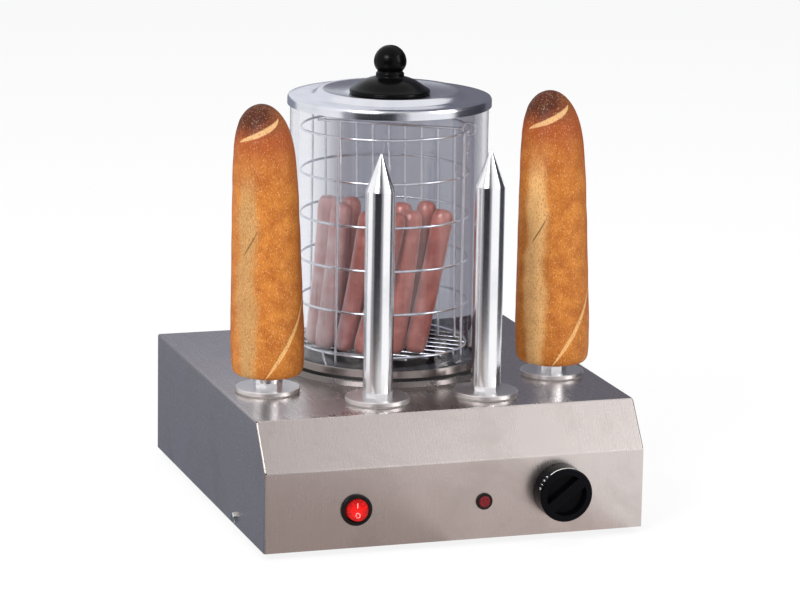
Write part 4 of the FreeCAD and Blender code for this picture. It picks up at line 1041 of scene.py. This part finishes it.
rocker_ink = ink_finish("rocker_ink", srgb(255, 226, 220), 0.75)
for mark, above in ((flat_bar("mark_on", 0.26 * MM, 3.6 * MM), 3.5 * MM),
                    (flat_ring("mark_off", 1.9 * MM, 2.1 * MM, 0.8 * MM), -3.6 * MM)):
    start = Vector((rocker_middle.x, front - 30 * MM, rocker_middle.z + above))
    spot, normal = nodes["rocker"].ray_cast(start, BACKWARDS)[1:3]
    lay_on(mark, spot, normal, UPWARDS)
    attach(mark, "switch_rocker")
    paint(mark, rocker_ink)
print("rocker marked")

# %% Scale on the dial
ARC_BACK = 2.1 * MM           # behind the front of the dial
ARC_WIDTH = 1.1 * MM
ARC_FROM = 50                 # degrees round the dial, from the right and upwards
ARC_TO = 128
NUMBERS_BACK = 3.7 * MM
NUMBER_SIZE = 3.6 * MM
FIRST_NUMBER = 164
NUMBERS_APART = 9.5
dial_front = box_of("thermostat_knob")[0].y
dial_axis = middle("thermostat_knob")
dial_r = round_size("thermostat_knob")
dial_ink = ink_finish("dial_ink", srgb(232, 232, 228), 0.0)


def on_dial(degrees, back):
    """Place on the side of the dial and the direction out of it."""
    angle = math.radians(degrees)
    out = Vector((math.cos(angle), 0, math.sin(angle)))
    return Vector((dial_axis.x, dial_front + back, dial_axis.z)) + out * dial_r, out


def dial_arc(name, first, last):
    """Thin band spun part of the way round the dial."""
    start, out = on_dial(first, ARC_BACK)
    piece = new_piece(bpy.ops.mesh.primitive_plane_add, name, size=1.0, location=start + out * INK / 2)
    piece.scale = (INK, ARC_WIDTH, 1.0)
    piece.rotation_euler = (0, -math.radians(first), 0)
    write_place(piece)
    open_mesh()
    bpy.ops.mesh.spin(steps=24, angle=math.radians(last - first), center=dial_axis, axis=BACKWARDS)
    close_mesh()
    return piece


def dial_number(text, degrees):
    spot, out = on_dial(degrees, NUMBERS_BACK)
    piece = new_piece(bpy.ops.object.text_add, "dial_number_" + text)
    piece.data.body = text
    piece.data.size = NUMBER_SIZE
    piece.data.align_x = "CENTER"
    piece.data.align_y = "CENTER"
    piece.data.resolution_u = 3
    bpy.ops.object.convert(target="MESH")
    piece = bpy.context.object
    thicken(piece)
    lay_on(piece, spot, out, BACKWARDS)
    return piece


dial_marks = [dial_arc("dial_arc", ARC_FROM, ARC_TO)]
dial_marks += [dial_number(str(i), FIRST_NUMBER - NUMBERS_APART * i) for i in range(4)]
for mark in dial_marks:
    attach(mark, "dial")
    paint(mark, dial_ink)
print("dial marks:", len(dial_marks))

# %% [markdown]
# ## The stage
#
# A pale floor and a white surround. The camera, metal and glass see both as white; the light that
# falls on the machine is kept at a plain level, so that the metal keeps its tone.

# %% White surround
AMBIENT = 0.44


def surround():
    world = bpy.data.worlds.new("surround")
    bpy.context.scene.world = world
    world.use_nodes = True
    sky = Nodes(world.node_tree)
    lit = sky.node("ShaderNodeBackground", {}, {"Color": (0.97, 0.98, 1.0), "Strength": AMBIENT})
    white = sky.node("ShaderNodeBackground", {}, {"Color": (1.0, 1.0, 1.0), "Strength": 1.0})
    seen = sky.rays("Camera", "Glossy", "Transmission")
    shown = sky.node("ShaderNodeMixShader", {}, {0: seen, 1: lit, 2: white})
    sky.feed(sky.tree.nodes["World Output"].inputs["Surface"], shown)


surround()
print("ambient light:", AMBIENT)

# %% Floor
FLOOR_SIZE = 14.0
FLOOR_PLAIN = 0.85            # share of plain white; the rest is real shading, and shows the shadow


def floor_finish():
    finish = Finish("floor_white")
    finish.set(Base_Color=(0.90, 0.90, 0.90), Roughness=0.9)
    plain = finish.node("ShaderNodeEmission", {}, {"Color": (1.0, 1.0, 1.0), "Strength": 1.0})
    finish.blend_shader(finish.rays("Camera", "Glossy", "Transmission") * FLOOR_PLAIN, plain)
    return finish.material


floor = new_piece(bpy.ops.mesh.primitive_plane_add, "floor", size=FLOOR_SIZE, location=(0, 0, -0.2 * MM))
floor.data.materials.append(floor_finish())
print("floor %.0f m wide" % FLOOR_SIZE)

# %% [markdown]
# ## Lamps
#
# Three soft boxes: a strong one from the front left, a weaker one from the front right, and one
# overhead. The overhead one is kept out of reflections, because the deck would mirror it.

# %% Soft boxes
MACHINE_MIDDLE = Vector((0, 0, 0.15))


def soft_box(name, place, size, power, mirrored):
    lamp = new_piece(bpy.ops.object.light_add, name, type="AREA", location=place)
    lamp.data.shape = "RECTANGLE"
    lamp.data.size, lamp.data.size_y = size
    lamp.data.energy = power
    lamp.visible_glossy = mirrored
    lamp.rotation_euler = (MACHINE_MIDDLE - Vector(place)).to_track_quat("-Z", "Y").to_euler()


soft_box("key_box", (-2.1, -1.8, 2.0), (1.4, 1.4), 86, mirrored=True)
soft_box("fill_box", (2.2, -1.8, 1.4), (1.2, 1.8), 32, mirrored=True)
soft_box("top_box", (0.2, 0.4, 2.6), (2.0, 1.2), 30, mirrored=False)
print("soft boxes:", len(bpy.data.lights))

# %% [markdown]
# ## Cards
#
# Polished metal shows what is round it, so a product studio stands grey cards about the machine.
# These give off their own shade, and only reflections see them. Upright ones stand in a ring for
# the glass, the lid and the spikes; flat ones lie on the floor for the upright sides of the case;
# one hangs overhead for the slope, and a small dark one stands at the foot of the glass, where the
# deck mirrors it as a painted reflection of the dark pan.

# %% Cards that only reflections see
SIDE_CARDS_AWAY = 0.62        # from the origin
BACK_CARDS_AWAY = 0.66


def add_card(name, place, aim, size, shade):
    """Card that faces the point aim."""
    card = new_piece(bpy.ops.mesh.primitive_plane_add, name, size=1.0, location=place)
    card.scale = (size[0], size[1], 1.0)
    card.rotation_euler = (Vector(aim) - Vector(place)).to_track_quat("Z", "Y").to_euler()
    finish = Finish(name + "_shade")
    lit = finish.node("ShaderNodeEmission", {}, {"Color": shade, "Strength": 1.0})
    finish.feed(finish.output.inputs["Surface"], lit)
    card.data.materials.append(finish.material)
    card.visible_camera = False
    card.visible_diffuse = False
    card.visible_shadow = False
    card.visible_transmission = False


def upright_card(name, first, last, away, low, high, shade):
    """Upright card between two angles, in degrees to the right of the camera's side."""
    turn = math.radians((first + last) / 2)
    level = (low + high) / 2
    toward = Vector((across.y, -across.x, 0))
    place = (toward * math.cos(turn) + across * math.sin(turn)) * away + Vector((0, 0, level))
    width = 2 * away * math.tan(math.radians((last - first) / 2))
    add_card(name, place, (0, 0, level), (width, high - low), shade)


def floor_card(name, x0, x1, y0, y1, shade):
    """Card that lies just over the floor."""
    place = Vector(((x0 + x1) / 2, (y0 + y1) / 2, 0.5 * MM))
    add_card(name, place, place + UPWARDS, (x1 - x0, y1 - y0), shade)


print("cards stand %.2f m away" % SIDE_CARDS_AWAY)

# %% Cards round the machine
for name, first, last, away, low, high, shade in (
        ("left_front_card", -52, -38, SIDE_CARDS_AWAY, 0.0, 0.7, srgb(150, 150, 156)),
        ("front_card", -38, 8, SIDE_CARDS_AWAY, 0.0, 0.7, srgb(40, 40, 46)),
        ("right_front_card", 8, 20, SIDE_CARDS_AWAY, 0.0, 0.7, srgb(150, 150, 156)),
        ("right_card", 76, 132, SIDE_CARDS_AWAY, 0.0, 0.7, srgb(64, 64, 72)),
        ("back_right_card", 132, 182, BACK_CARDS_AWAY, 0.0, 0.9, srgb(112, 112, 124)),
        ("back_left_card", 182, 236, BACK_CARDS_AWAY, 0.0, 0.37, srgb(140, 144, 158)),
        ("lid_card", 182, 236, BACK_CARDS_AWAY, 0.37, 0.9, srgb(236, 238, 244))):
    upright_card(name, first, last, away, low, high, shade)
for name, x0, x1, y0, y1, shade in (
        ("face_card_dark", -0.90, 0.00, front - 0.32, front, srgb(174, 162, 158)),
        ("face_card_mid", 0.00, 0.09, front - 0.32, front, srgb(212, 202, 199)),
        ("face_card_pale", 0.09, 0.14, front - 0.32, front, srgb(222, 212, 209)),
        ("side_card", case_low.x - 0.35, case_low.x, front - 0.05, 0.80, srgb(124, 130, 143))):
    floor_card(name, x0, x1, y0, y1, shade)
overhead = Vector((-0.05, -0.75, 1.1))
add_card("slope_card", overhead, overhead - UPWARDS, (0.8, 0.8), srgb(206, 202, 202))
# painted reflection: a dark card that the deck mirrors as the dark pan
foot_front = Vector((0.012, glass_axis.y - glass_r - 4 * MM, deck + 28 * MM))
add_card("pan_reflection_card", foot_front, foot_front - BACKWARDS, (0.10, 0.040), srgb(72, 56, 60))
print("card at the foot of the glass: %.0f mm over the deck" % ((foot_front.z - deck) / MM))

# %% [markdown]
# ## Colours
#
# The colours are shown as they are, with no film curve over them.

# %% Colours
bpy.context.scene.view_settings.view_transform = "Standard"
